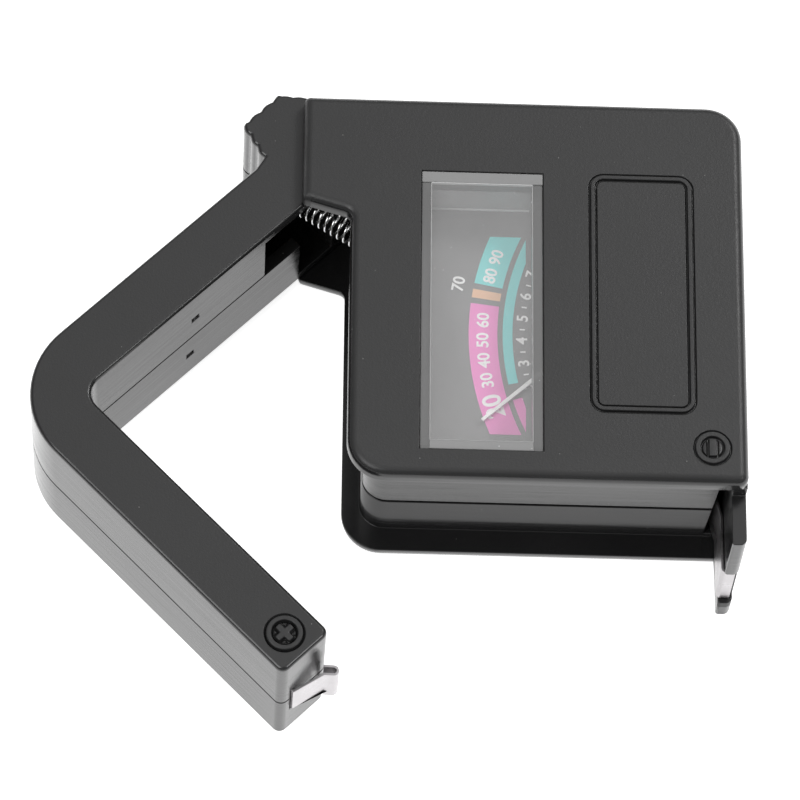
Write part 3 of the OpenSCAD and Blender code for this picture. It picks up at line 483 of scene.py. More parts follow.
@dataclass(frozen=True)
class ClearPlastic:
    """Clear moulded plastic, slightly hazy, with smudges and specks of dust."""

    name: str
    colour: Colour
    haze: float
    roughness: float = 0.08
    smudge: Triple = (5.0, 8.0, 5.0)
    smudge_tint: float = 0.9
    fine: float = 0.5
    dust: Dust = Dust(0.9, 0.05, 0.8, (1.0, 1.0, 1.0))

    def material(self) -> Material:
        """Makes the finish.

        Returns:
            The material.
        """
        s = Surface(self.name)
        smudge = s.noise(self.smudge, 4.0, 0.6)
        fine = s.noise(self.fine, 2.0, 0.5)
        specks = s.specks(self.dust)
        clouded = s.mix(smudge, self.colour, tinted(self.colour, self.smudge_tint))
        s.set("Base Color", s.mix(specks, clouded, self.dust.colour))
        s.set("Roughness", self.roughness + smudge * 0.08)
        s.set("Alpha", self.haze + (smudge - 0.5) * 0.06 + (fine - 0.5) * 0.03 + specks * 0.6)
        return s.material


@dataclass(frozen=True)
class Print:
    """Matt ink or paint with the slight mottling of screen printing."""

    name: str
    colour: Colour
    roughness: float = 0.55
    mottle: float = 0.08
    coarse: float = 3.0
    fine: float = 0.18
    depth: float = 0.003

    def material(self) -> Material:
        """Makes the finish.

        Returns:
            The material.
        """
        s = Surface(self.name)
        coarse = s.noise(self.coarse, 3.0, 0.6)
        fine = s.noise(self.fine, 2.0, 0.5)
        low, high = tinted(self.colour, 1 - self.mottle), tinted(self.colour, 1 + self.mottle)
        s.set("Base Color", s.mix(coarse * 0.6 + fine * 0.4, low, high))
        s.set("Roughness", self.roughness + (fine - 0.5) * 0.1)
        s.bump(fine * self.depth)
        return s.material


class Finishes:
    """Every finish of the tester, each made into a material once."""

    def __init__(self) -> None:
        """Makes the materials."""
        charcoal = partial(MouldedPlastic, colour=(0.011, 0.011, 0.0113))
        grained = partial(MouldedPlastic, face_level=0.0)
        self.case = charcoal("charcoal_case_plastic", face_level=23.5, matt_left=-27.2).material()
        self.rear = charcoal("charcoal_rear_plastic", draft_deg=13.0).material()
        # the arm's seam level carries a painted shade line for its parting groove
        arm = {"roughness": 0.42, "face_level": 21.28, "face_fade": 0.04, "seam_level": 11.4}
        self.arm = charcoal("charcoal_arm_plastic", **arm).material()
        self.frame = grained("black_frame_plastic", (0.012, 0.012, 0.012), 0.5).material()
        self.board = grained("phenolic_board", (0.22, 0.12, 0.05), grain=0.6).material()
        self.resistor = grained("resistor_lacquer", (0.42, 0.33, 0.2), 0.3).material()
        self.lead = grained("red_lead_insulation", (0.3, 0.015, 0.012), 0.35).material()
        self.magnet = grained("sintered_magnet", (0.06, 0.06, 0.063), 0.6, grain=0.3).material()
        self.contact = PlatedStrip("nickel_contact", (0.43, 0.415, 0.425), 0.3).material()
        self.steel = PlatedStrip("bright_steel", (0.62, 0.62, 0.63), 0.28).material()
        self.wire = PlatedStrip("spring_wire", (0.9, 0.9, 0.9), 0.12, (0.3, 0.3, 0.3)).material()
        self.brass = PlatedStrip("brass_strip", (0.78, 0.56, 0.26), 0.3).material()
        self.iron = PlatedStrip("plated_iron", (0.42, 0.42, 0.43), 0.4).material()
        self.winding = PlatedStrip(
            "enamelled_winding", (0.62, 0.27, 0.13), 0.3, (4.0, 4.0, 0.07), 0.02
        ).material()
        self.pane = ClearPlastic("clear_lens", (0.86, 0.86, 0.86), 0.13).material()
        # painted light: grey copies of the clear lens for its rim, lighter across and darker at the
        # sides, standing in for light gathered in the clear skirts
        self.rim = ClearPlastic("milky_lens_rim", (0.32, 0.32, 0.32), 0.75, 0.25).material()
        self.side_rim = ClearPlastic("smoky_lens_rim", (0.19, 0.19, 0.19), 0.7, 0.2).material()
        # partly painted light: the frosted skirt's light grey stands in for light the upper wall
        # gets through the pane
        self.frost = ClearPlastic("frosted_lens_skirt", (0.3, 0.3, 0.3), 0.9, 0.4).material()
        # painted highlights: bright and dim strips for glints along the lens's moulded edges
        self.bead = ClearPlastic("bright_lens_edge", (0.62, 0.62, 0.62), 0.9, 0.3).material()
        self.dim_bead = ClearPlastic("dim_lens_edge", (0.4, 0.4, 0.4), 0.8, 0.3).material()
        self.dial = Print("dial_ground", linear("6e6e6e")).material()
        self.teal = Print("teal_ink", linear("6adad8")).material()
        self.pink = Print("pink_ink", linear("f07cc8")).material()
        self.orange = Print("orange_ink", linear("e8b68f")).material()
        self.white = Print("white_ink", (0.95, 0.95, 0.94)).material()
        self.needle = Print("needle_paint", (0.92, 0.92, 0.91), 0.3, 0.04).material()


# ---- meshes


def link(name: str, data: ID) -> Object:
    """Links a new object into the scene.

    Args:
        name: the object's name.
        data: its mesh, curve, camera or light.

    Returns:
        The object, at the origin.
    """
    made = bpy.data.objects.new(name, data)
    bpy.context.scene.collection.objects.link(made)
    return made


def baked(source: Object, name: str) -> Object:
    """Turns an object with modifiers into a plain mesh object.

    Args:
        source: the object, which is removed.
        name: the name of the plain one.

    Returns:
        The plain object, at the origin, with its mesh where the source was.
    """
    graph = bpy.context.evaluated_depsgraph_get()
    mesh = bpy.data.meshes.new_from_object(source.evaluated_get(graph))
    place = source.matrix_world.copy()
    bpy.data.objects.remove(source)
    mesh.transform(place)
    mesh.name = name
    return link(name, mesh)


def paint(mesh: Mesh, material: Material) -> None:
    """Makes a finish the only one on a mesh."""
    mesh.materials.clear()
    mesh.materials.append(material)


def meshed(shape: bmesh.types.BMesh, name: str, material: Material) -> Mesh:
    """Turns a drawn shape into a mesh.

    Args:
        shape: the shape, which is freed.
        name: the mesh's name.
        material: its finish.

    Returns:
        The mesh.
    """
    mesh = bpy.data.meshes.new(name)
    shape.to_mesh(mesh)
    shape.free()
    paint(mesh, material)
    return mesh


def settle(piece: Object, body: Body, replaced: Sequence[str] = ()) -> None:
    """Hands a finished piece to the frame.

    Args:
        piece: the finished object.
        body: the body that it rides on.
        replaced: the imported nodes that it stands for.
    """
    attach(piece, body.value)
    if replaced:
        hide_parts(*replaced)
    log.info("%s: %d faces", piece.name, len(piece.data.polygons))


def prism(
    name: str, outline: Sequence[Point], heights: Span, edge: float, material: Material
) -> Object:
    """Makes an upright prism with softened edges.

    Args:
        name: its name.
        outline: its corners, anticlockwise seen from above.
        heights: the heights of its underside and its top.
        edge: the width of its bevels, or 0 for none.
        material: its finish.

    Returns:
        The object.
    """
    shape = bmesh.new()
    floor, lid = ([shape.verts.new((x * MM, y * MM, z * MM)) for x, y in outline] for z in heights)
    shape.faces.new(reversed(floor))
    shape.faces.new(lid)
    for i, start in enumerate(floor):
        j = (i + 1) % len(floor)
        shape.faces.new((start, floor[j], lid[j], lid[i]))
    if edge:
        bmesh.ops.bevel(
            shape, geom=shape.edges[:], offset=edge * MM, segments=2, profile=0.5, affect="EDGES"
        )
    return link(name, meshed(shape, name, material))


@dataclass
class Softened:
    """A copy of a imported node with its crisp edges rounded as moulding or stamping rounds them."""

    node: str
    name: str
    body: Body
    slot: Slot
    edge: float
    sharp_deg: float = 40.0
    flat_deg: float = 0.3
    merge: float = 0.002
    segments: int = 2

    def build(self, material: Material) -> None:
        """Makes the copy, in place of the node.

        Args:
            material: its finish.
        """
        shape = bmesh.new()
        shape.from_mesh(frame["nodes"][self.node].data)
        bmesh.ops.remove_doubles(shape, verts=shape.verts, dist=self.merge * MM)
        flat = math.radians(self.flat_deg)
        bmesh.ops.dissolve_limit(shape, angle_limit=flat, verts=shape.verts, edges=shape.edges)
        rough = link(self.name + "_rough", meshed(shape, self.name, material))
        rough.data.shade_smooth()
        bevel = rough.modifiers.new("edges", "BEVEL")
        bevel.width = self.edge * MM
        bevel.segments = self.segments
        bevel.limit_method = "ANGLE"
        bevel.angle_limit = math.radians(self.sharp_deg)
        bevel.use_clamp_overlap = False
        weighted = rough.modifiers.new("normals", "WEIGHTED_NORMAL")
        weighted.keep_sharp = True
        made = baked(rough, self.name)
        self._clamp(made.data)
        settle(made, self.body, [self.node])

    def _clamp(self, mesh: Mesh) -> None:
        """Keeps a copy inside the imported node's own box, which a bevel in a tight step can leave.

        Args:
            mesh: the copy's mesh.
        """
        corners = [vertex.co for vertex in frame["nodes"][self.node].data.vertices]
        low = [min(corner[axis] for corner in corners) for axis in range(3)]
        high = [max(corner[axis] for corner in corners) for axis in range(3)]
        for vertex in mesh.vertices:
            for axis in range(3):
                vertex.co[axis] = min(max(vertex.co[axis], low[axis]), high[axis])


# ---- case and arm


@dataclass
class CaseShells:
    """The two moulded halves of the case."""

    edge: float = 0.1

    def build(self, finishes: Finishes) -> None:
        """Makes and dresses both halves.

        Args:
            finishes: the tester's finishes.
        """
        front, rear = ("front_case", "case_front"), ("rear_case", "case_rear")
        for names, finish in ((front, finishes.case), (rear, finishes.rear)):
            Softened(*names, Body.CASE, Slot.CASE, self.edge).build(finish)


@dataclass
class ArmShells:
    """The two moulded halves of the arm."""

    edge: float = 0.14
    sharp_deg: float = 50.0

    def build(self, finishes: Finishes) -> None:
        """Makes and dresses both halves.

        Args:
            finishes: the tester's finishes.
        """
        for names in (("arm_front_shell", "arm_front"), ("arm_rear_shell", "arm_rear")):
            half = Softened(*names, Body.ARM, Slot.ARM, self.edge, self.sharp_deg)
            half.build(finishes.arm)


@dataclass
class Window:
    """The clear window: a pane set in a rim whose skirts frame the dial, grey with painted light.

    The rim's upper wall is frosted, and the light tone of a thin sheet on its inner face is painted
    light. Thin bright strips along its moulded edges are painted highlights, and two ledges reach
    out under the face. Sizes in fours are in the order of the sides.
    """

    left: float = -14.4
    right: float = -0.56
    low: float = -20.54
    high: float = 14.36
    top: float = 23.48
    under: float = 21.5
    sink: float = 0.06
    side_drop: float = 0.18
    rims: Four = (1.05, 1.1, 1.05, 1.36)
    feet: Four = (15.15, 20.3, 20.3, 16.7)
    # a thin frosted sheet on the upper wall, its light tone painted light
    frost_w: float = 0.04
    frost_margins: Span = (0.3, 0.15)
    # sizes of the painted highlight strip at the foot of the upper skirt
    foot_w: float = 0.08
    foot_h: float = 0.4
    # painted highlight strips along the pane's edges
    bead_w: float = 0.09
    bead_drops: Span = (0.4, 0.02)
    ledge: float = 0.9
    ledge_t: float = 0.8
    left_ledge: Span = (8.5, 22.5)
    upper_ledge_inset: float = 2.0
    pane_edge: float = 0.12
    skirt_edge: float = 0.07
    bead_edge: float = 0.02
    ledge_edge: float = 0.05

    def _bar(
        self,
        name: str,
        box: Four,
        heights: Span,
        edge: float,
        material: Material,
        replaced: Sequence[str] = (),
    ) -> None:
        """Sets a straight piece of the window in the case, where it lets light through to the dial.

        Args:
            name: what it is.
            box: its left, lower, right and upper limits.
            heights: the heights of its underside and its top.
            edge: the width of its bevels.
            material: its finish.
            replaced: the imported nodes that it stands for.
        """
        x0, y0, x1, y1 = box
        outline = [(x0, y0), (x1, y0), (x1, y1), (x0, y1)]
        piece = prism("window_" + name, outline, heights, edge, material)
        piece.visible_shadow = False
        settle(piece, Body.CASE, replaced)

    def build(self, finishes: Finishes) -> None:
        """Makes and dresses the pane, the rim with its frosted wall and painted highlights, and the
        ledges.

        Args:
            finishes: the tester's finishes.
        """
        left, right, low, high = self.left, self.right, self.low, self.high
        top, under = self.top, self.under
        rim_left, rim_right, rim_low, rim_high = self.rims
        x0, x1, y0, y1 = left + rim_left, right - rim_right, low + rim_low, high - rim_high
        pane, heights = (x0, y0, x1, y1), (under, top - self.sink)
        self._bar("pane", pane, heights, self.pane_edge, finishes.pane, ["window_lens"])
        skirts = (
            (left, low, x0, y1),
            (x1, low, right, y1),
            (x0, low, x1, y0),
            (left, y1, right, high),
        )
        # the skirts across take the lighter painted-light rim tone, the side skirts the darker
        # painted-shade tone
        for side, box, foot in zip(Side, skirts, self.feet):
            across = side in (Side.LOWER, Side.UPPER)
            lid = top if across else top - self.side_drop
            finish = finishes.rim if across else finishes.side_rim
            self._bar(side.value + "_skirt", box, (foot, lid), self.skirt_edge, finish)
        foot = self.feet[-1]
        # the frosted wall: a thin sheet whose light tone is painted light
        rise, drop = self.frost_margins
        frosted = (x0, y1 - self.frost_w, x1, y1)
        self._bar("frosted_wall", frosted, (foot + rise, top - drop), 0, finishes.frost)
        # painted highlight: a bright strip at the foot of the upper skirt
        bright = (x0, y1 - self.foot_w, x1, y1)
        heights = (foot, foot + self.foot_h)
        self._bar("foot_painted_highlight", bright, heights, self.bead_edge, finishes.bead)
        # painted highlights along the pane's edges, bright at the top and dim elsewhere
        a, b = x0 + self.bead_w, x1 - self.bead_w
        painted_highlights = (
            (x0, y0, a, y1),
            (b, y0, x1, y1),
            (a, y0, b, y0 + self.bead_w),
            (a, y1 - self.bead_w, b, y1),
        )
        heights = tuple(top - drop for drop in self.bead_drops)
        for side, box in zip(Side, painted_highlights):
            finish = finishes.bead if side is Side.UPPER else finishes.dim_bead
            self._bar(side.value + "_bead", box, heights, self.bead_edge, finish)
        y2, y3 = (low + rise for rise in self.left_ledge)
        x2, x3 = left + self.upper_ledge_inset, right - self.upper_ledge_inset
        ledges = {
            Side.LEFT: (left - self.ledge, y2, left, y3),
            Side.UPPER: (x2, high, x3, high + self.ledge),
        }
        heights = (under - self.ledge_t, under)
        # the ledges take the lighter painted-light rim tone
        for side, box in ledges.items():
            self._bar(side.value + "_ledge", box, heights, self.ledge_edge, finishes.rim)


# ---- dial


@dataclass
class TickRow:
    """Short ticks set out evenly along an arc and pointing at its centre."""

    name: str = "dial_ticks_inner"
    radius: float = 27.3
    length: float = 0.6
    width: float = 0.16
    ends_deg: Span = (166.5, 190.5)
    count: int = 5

    @staticmethod
    def _recipe() -> Recipe:
        """Draws the tree of a row of ticks.

        Returns:
            The tree.
        """
        kinds = dict.fromkeys(("Centre", "Size"), "Vector")
        kinds |= dict.fromkeys(("Radius", "First", "Last"), "Float")
        g = Recipe("ticks", {**kinds, "Count": "Int", "Material": "Material"})
        points = g.geometry("Points", Count=g.given("Count"))
        share = g.out(g.node("GeometryNodeInputIndex")) / (g.given("Count") - 1)
        angle = g.given("First") + (g.given("Last") - g.given("First")) * share
        radius = g.given("Radius")
        offset = g.combine(radius * angle.maths("COSINE"), radius * angle.maths("SINE"), 0.0)
        centre = g.given("Centre")
        spread = g.geometry("SetPosition", Geometry=points, Position=offset, Offset=centre)
        bar = g.geometry("MeshCube", Size=g.given("Size"))
        turn = g.combine(0.0, 0.0, angle)
        g.end(g.geometry("InstanceOnPoints", Points=spread, Instance=bar, Rotation=turn))
        return g

    def build(self, centre: Triple, thickness: float, material: Material) -> None:
        """Prints the row.

        Args:
            centre: the centre of the arc, in the middle of the ink.
            thickness: the thickness of the ink.
            material: the ink.
        """
        first, last = (math.radians(end) for end in self.ends_deg)
        made = self._recipe().bake(
            self.name,
            Centre=tuple(place * MM for place in centre),
            Size=(self.length * MM, self.width * MM, thickness * MM),
            Radius=self.radius * MM,
            First=first,
            Last=last,
            Count=self.count,
            Material=material,
        )
        settle(made, Body.CASE)


@dataclass
class Artwork:
    """The printed scale: two bands of colour, ticks and plain numbers, as thin layers of ink."""

    centre: Point = (24.93, -2.08)
    ground: float = 14.9
    gap: float = 0.004
    ink: float = 0.02
    outer: Span = (30.16, 33.47)
    inner: Span = (28.42, 29.55)
    top_cut: float = 10.5
    low_cut: float = -14.7
    teal_end_deg: float = 168.7
    orange_deg: Span = (170.0, 171.9)
    pink_start_deg: float = 173.2
    inner_teal_deg: Span = (150.0, 192.3)
    inner_pink_deg: Span = (196.2, 210.0)
    inner_edge_x: float = -1.95
    step_deg: float = 0.5
    first_value: int = 20
    first_deg: float = 196.6
    first_h: float = 2.1
    values: range = range(30, 100, 10)
    values_deg: tuple[float, ...] = (190.6, 186.0, 181.4, 176.8, 169.6, 166.4, 161.9)
    value_h: float = 1.35
    aside_value: int = 70
    aside_r: float = 35.2
    inner_values: range = range(2, 8)
    inner_r: float = 27.3
    inner_first_deg: float = 193.5
    inner_step_deg: float = 6.0
    inner_h: float = 1.25
    digit_share: float = 0.7
    digit_swell: float = 0.028
    digit_layer: float = 1.6

    def _at(self, radius: float, angle_deg: float) -> Point:
        """Returns the point at a radius and a direction from the centre of the arcs."""
        angle, (x, y) = math.radians(angle_deg), self.centre
        return (x + radius * math.cos(angle), y + radius * math.sin(angle))

    def _angle_at(self, radius: float, y: float) -> float:
        """Returns the direction at which an arc crosses a height."""
        return 180.0 - math.degrees(math.asin((y - self.centre[1]) / radius))

    def _band(self, radii: Span, starts: Span, ends: Span) -> list[Point]:
        """Draws a band of an arc.

        Args:
            radii: its inner and outer radius.
            starts: the direction at which each of them starts.
            ends: the direction at which each of them ends.

        Returns:
            The outline, anticlockwise.
        """
        sides = []
        for radius, start, end in zip(radii, starts, ends):
            count = max(2, round((end - start) / self.step_deg))
            turns = (start + (end - start) * i / count for i in range(count + 1))
            sides.append([self._at(radius, turn) for turn in turns])
        return sides[0][::-1] + sides[1]

    def _inner_band(self, ends_deg: Span) -> list[Point]:
        """Draws a part of the inner band, cut off along its upright edge.

        Args:
            ends_deg: the directions of its ends.

        Returns:
            The outline, anticlockwise.
        """
        start, end = ends_deg
        outline = self._band(self.inner, (start, start), (end, end))
        edge, kept = self.inner_edge_x, []
        for (x0, y0), (x1, y1) in zip(outline, [*outline[1:], outline[0]]):
            if x0 <= edge:
                kept.append((x0, y0))
            if (x0 <= edge) != (x1 <= edge):
                kept.append((edge, y0 + (y1 - y0) * (edge - x0) / (x1 - x0)))
        return kept

    def bands(self, finishes: Finishes) -> None:
        """Prints the bands of colour.

        Args:
            finishes: the tester's finishes.
        """
        tops, lows = (
            tuple(self._angle_at(radius, cut) for radius in self.outer)
            for cut in (self.top_cut, self.low_cut)
        )
        teal, pink = (self.teal_end_deg,) * 2, (self.pink_start_deg,) * 2
        start, end = ((turn, turn) for turn in self.orange_deg)
        areas = {
            "band_teal": (self._band(self.outer, tops, teal), finishes.teal),
            "band_orange": (self._band(self.outer, start, end), finishes.orange),
            "band_pink": (self._band(self.outer, pink, lows), finishes.pink),
            "inner_teal": (self._inner_band(self.inner_teal_deg), finishes.teal),
            "inner_pink": (self._inner_band(self.inner_pink_deg), finishes.pink),
        }
        low = self.ground + self.gap
        for name, (outline, ink) in areas.items():
            area = prism("dial_" + name, outline, (low, low + self.ink), 0, ink)
            settle(area, Body.CASE)

    def number(
        self, value: int, radius: float, angle_deg: float, height: float, ink: Material
    ) -> None:
        """Prints a number that reads along the arc.

        Args:
            value: the number.
            radius: the radius of its middle.
            angle_deg: its direction from the centre of the arcs.
            height: the height of its digits.
            ink: its ink.
        """
        curve = bpy.data.curves.new(f"number_{value}", "FONT")
        curve.body = str(value)
        curve.size = height * MM / self.digit_share
        curve.align_x = "CENTER"
        curve.align_y = "CENTER"
        curve.offset = self.digit_swell * height * MM
        curve.extrude = self.ink * MM / 2
        rough = link("number_rough", curve)
        level = self.ground + self.gap + self.digit_layer * self.ink
        place = Matrix.Translation(Vector((*self._at(radius, angle_deg), level)) * MM)
        rough.matrix_world = place @ Matrix.Rotation(math.radians(angle_deg - 90), 4, "Z")
        bpy.context.view_layer.update()
        made = baked(rough, f"dial_number_{value}_{round(radius)}")
        paint(made.data, ink)
        settle(made, Body.CASE)

    def build(self, finishes: Finishes) -> None:
        """Prints everything.

        Args:
            finishes: the tester's finishes.
        """
        self.bands(finishes)
        white = finishes.white
        centre = (*self.centre, self.ground + self.gap + self.ink / 2)
        TickRow().build(centre, self.ink, white)
        band = sum(self.outer) / 2
        self.number(self.first_value, band, self.first_deg, self.first_h, white)
        for value, angle in zip(self.values, self.values_deg):
            radius = self.aside_r if value == self.aside_value else band
            self.number(value, radius, angle, self.value_h, white)
        for i, value in enumerate(self.inner_values):
            angle = self.inner_first_deg - self.inner_step_deg * i
            self.number(value, self.inner_r, angle, self.inner_h, white)


# ---- metal pieces


@dataclass
class ArmPlace:
    """Where the open arm stands."""

    pivot: Point = (-25.5, 19.74)
    open_deg: float = 45.2

    def at(self, x: float, y: float) -> Point:
        """Returns where a place of the closed arm, measured from its pivot, is on the open arm."""
        cos, sin = math.cos(math.radians(self.open_deg)), math.sin(math.radians(self.open_deg))
        return (self.pivot[0] + x * cos + y * sin, self.pivot[1] - x * sin + y * cos)


@dataclass
class TensionSpring:
    """The coil spring that pulls the arm closed, hooked over a post at each end."""

    arm: ArmPlace = field(default_factory=ArmPlace)
    post: Point = (0.5, -7.3)
    anchor: Point = (-17.5, 6.24)
    height: float = 17.6
    wire: float = 0.3
    across: float = 3.1
    turns: int = 15
    taper: float = 2.2
    post_r: float = 0.5
    post_gap: float = 0.05
    neck: float = 0.5
    hook_start_deg: float = 60.0
    hook_sweep_deg: float = 275.0
    steps: int = 28
    hook_steps: int = 24
    wire_sides: int = 12

    def _recipe(self) -> Recipe:
        """Draws the tree of a coil with an open hook at each end.

        Returns:
            The tree.
        """
        sizes = ("Coil radius", "Wire radius", "Hook radius", "Turns", "Span", "Neck", "Heading")
        kinds = {**dict.fromkeys(sizes, "Float"), "Place": "Vector", "Material": "Material"}
        g = Recipe("tension_spring", kinds)
        first, coil = float(self.hook_steps), float(self.turns * self.steps)
        count = int(2 * first + coil) + 1
        line = g.geometry("CurvePrimitiveLine", Start=(0.0, 0.0, 0.0), End=(1.0, 0.0, 0.0))
        path = g.geometry("ResampleCurve", Curve=line, Count=count)
        index = g.out(g.node("GeometryNodeInputIndex"))
        in_start = index.maths("LESS_THAN", first + 0.5)
        in_end = index.maths("GREATER_THAN", first + coil + 0.5)
        in_coil = 1.0 - in_start - in_end
        start, sweep = math.radians(self.hook_start_deg), math.radians(self.hook_sweep_deg)
        turn_in = (index / first) * sweep + start
        turn_out = ((index - (first + coil)) / first) * -sweep + (start + sweep)
        share = (index - first) / coil
        angle = share * g.given("Turns") * (2 * math.pi)
        rate = self.taper * self.turns
        rise = (share * rate).maths("MINIMUM", (1.0 - share) * rate).maths("MINIMUM", 1.0)
        radius = g.given("Coil radius") * rise
        hook, span, neck = g.given("Hook radius"), g.given("Span"), g.given("Neck")
        x = (
            in_start * (hook * turn_in.maths("COSINE"))
            + in_coil * (neck + (span - 2.0 * neck) * share)
            + in_end * (span - hook * turn_out.maths("COSINE"))
        )
        y = (
            in_start * (hook * turn_in.maths("SINE"))
            + in_coil * (radius * angle.maths("COSINE"))
            - in_end * (hook * turn_out.maths("SINE"))
        )
        z = in_coil * (radius * angle.maths("SINE"))
        bent = g.geometry("SetPosition", Geometry=path, Position=g.combine(x, y, z))
        wire_r = g.given("Wire radius")
        ring = g.geometry("CurvePrimitiveCircle", Resolution=self.wire_sides, Radius=wire_r)
        tube = g.geometry("CurveToMesh", Curve=bent, Profile_Curve=ring, Fill_Caps=True)
        place, turn = g.given("Place"), g.combine(0.0, 0.0, g.given("Heading"))
        g.end(g.geometry("Transform", Geometry=tube, Translation=place, Rotation=turn))
        return g

    def build(self, finishes: Finishes) -> None:
        """Winds the spring between its posts.

        Args:
            finishes: the tester's finishes.
        """
        (x, y), (anchor_x, anchor_y) = self.arm.at(*self.post), self.anchor
        dx, dy = anchor_x - x, anchor_y - y
        hook_r = self.post_r + self.post_gap + self.wire / 2
        level = self.height * MM
        on_arm, on_case = (x * MM, y * MM, level), (anchor_x * MM, anchor_y * MM, level)
        spring = self._recipe().bake(
            "spring",
            Coil_radius=(self.across - self.wire) / 2 * MM,
            Wire_radius=self.wire / 2 * MM,
            Hook_radius=hook_r * MM,
            Turns=float(self.turns),
            Span=math.hypot(dx, dy) * MM,
            Neck=(hook_r + self.neck) * MM,
            Heading=math.atan2(dy, dx),
            Place=on_arm,
            Material=finishes.wire,
        )
        spring.data.shade_smooth()
        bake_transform(spring)
        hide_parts("tension_spring")
        log.info("spring: %d faces", len(spring.data.polygons))


class ScrewRecipe(Recipe):
    """Pan-head screws with a cross recess, one at each given place, head down.

    The shares are of the head's radius, its height and the slot's width.
    """

    SPOTS = 4
    DOME_SHARE = 1.9
    WING_SHARE = 1.25
    PIT_SHARES = (1.3, 0.5)
    PIT_DEPTH_SHARE = 0.9
    SHANK_START_SHARE = 0.75
    HEAD_SIDES = 48
    SHANK_SIDES = 24

    def __init__(self) -> None:
        """Makes the tree."""
        names = ("Head radius", "Head height", "Shank radius", "Shank length", "Slot width")
        labels = [f"Place {i + 1}" for i in range(self.SPOTS)]
        kinds = {**dict.fromkeys(names, "Float"), **dict.fromkeys(labels, "Vector")}
        super().__init__("screws", {**kinds, "Material": "Material"})
        head_r, head_h, shank_r, shank_l, slot_w = (self.given(name) for name in names)
        drum = self._cylinder(head_r, head_h, self.HEAD_SIDES)
        ball_r = head_r * self.DOME_SHARE
        ball = self.geometry("MeshUVSphere", Segments=64, Rings=32, Radius=ball_r)
        head = self.boolean("INTERSECT", {1: [drum, self._raised(ball, ball_r)]})
        wing_size = self.combine(head_r * self.WING_SHARE, slot_w, head_h)
        wing = self.geometry("MeshCube", Size=wing_size)
        turns = ((0.0, 0.0, turn) for turn in (0.0, math.pi / 2))
        wings = [self.geometry("Transform", Geometry=wing, Rotation=turn) for turn in turns]
        foot, tip = (slot_w * share for share in self.PIT_SHARES)
        depth = head_h * self.PIT_DEPTH_SHARE
        radii = {"Radius_Top": tip, "Radius_Bottom": foot}
        pit = self.geometry("MeshCone", Vertices=24, Depth=depth, **radii)
        cut = self.boolean("DIFFERENCE", {0: head, 1: [*wings, pit]})
        shank = self._cylinder(shank_r, shank_l + head_h, self.SHANK_SIDES)
        raised = self._raised(shank, head_h * self.SHANK_START_SHARE)
        body = self.geometry("JoinGeometry", Geometry=[cut, raised])
        places = [self.given(label) for label in labels]
        spots = [self.geometry("Transform", Geometry=body, Translation=place) for place in places]
        self.end(self.geometry("JoinGeometry", Geometry=spots))

    def _raised(self, mesh: Wire, height: Wire) -> Wire:
        """Returns a mesh moved up."""
        offset = self.combine(0.0, 0.0, height)
        return self.geometry("Transform", Geometry=mesh, Translation=offset)

    def _cylinder(self, radius: Wire, height: Wire, sides: int) -> Wire:
        """Returns an upright cylinder that stands on the origin."""
        made = self.geometry("MeshCylinder", Vertices=sides, Radius=radius, Depth=height)
        return self._raised(made, height * 0.5)


@dataclass
class ScrewSet:
    """The screws of one body."""

    name: str
    node: str
    body: Body
    places: list[Point]
    low: float
    head_r: float
    head_h: float
    shank_r: float
    length: float
    slot_w: float = 0.44

    def build(self, recipe: ScrewRecipe, material: Material) -> None:
        """Makes the screws.

        Args:
            recipe: the tree that makes them.
            material: their finish.
        """
        last = len(self.places) - 1
        spots = [self.places[min(i, last)] for i in range(recipe.SPOTS)]
        made = recipe.bake(
            self.name,
            Head_radius=self.head_r * MM,
            Head_height=self.head_h * MM,
            Shank_radius=self.shank_r * MM,
            Shank_length=self.length * MM,
            Slot_width=self.slot_w * MM,
            Material=material,
            **{f"Place_{i + 1}": (x * MM, y * MM, self.low * MM) for i, (x, y) in enumerate(spots)},
        )
        settle(made, self.body, [self.node])


def screw_sets() -> list[ScrewSet]:
    """Lists the screws of the case and those of the arm.

    Returns:
        The two sets.
    """
    arm = ArmPlace()
    case_places = [(-16.9, -16.6), (-16.9, 20.35), (18.2, 19.55), (16.2, -17.5)]
    arm_places = [arm.at(1.8, -31.0), arm.at(33.9, -45.5)]
    case_sizes = {"low": 0.15, "head_r": 1.9, "head_h": 1.3, "shank_r": 0.9, "length": 13.0}
    arm_sizes = {"low": 2.45, "head_r": 1.55, "head_h": 1.1, "shank_r": 0.8, "length": 11.0}
    return [
        ScrewSet("rear_screws", "case_screws", Body.CASE, case_places, **case_sizes),
        ScrewSet("rear_arm_screws", "arm_screws", Body.ARM, arm_places, **arm_sizes),
    ]


@dataclass
class Contacts:
    """The plated contact strips and studs."""

    strip_edge: float = 0.05
    strip_sharp_deg: float = 50.0
    stud_edge: float = 0.15

    def build(self, finishes: Finishes) -> None:
        """Makes and dresses the contacts.

        Args:
            finishes: the tester's finishes.
        """
        edges = (self.strip_edge, self.strip_sharp_deg)
        for piece in (
            Softened("negative_contact", "ear_contact", Body.CASE, Slot.CONTACT, *edges),
            Softened("positive_contact", "arm_contact", Body.ARM, Slot.CONTACT, *edges),
            Softened("side_contacts", "side_studs", Body.CASE, Slot.CONTACT, self.stud_edge),
        ):
            piece.build(finishes.contact)


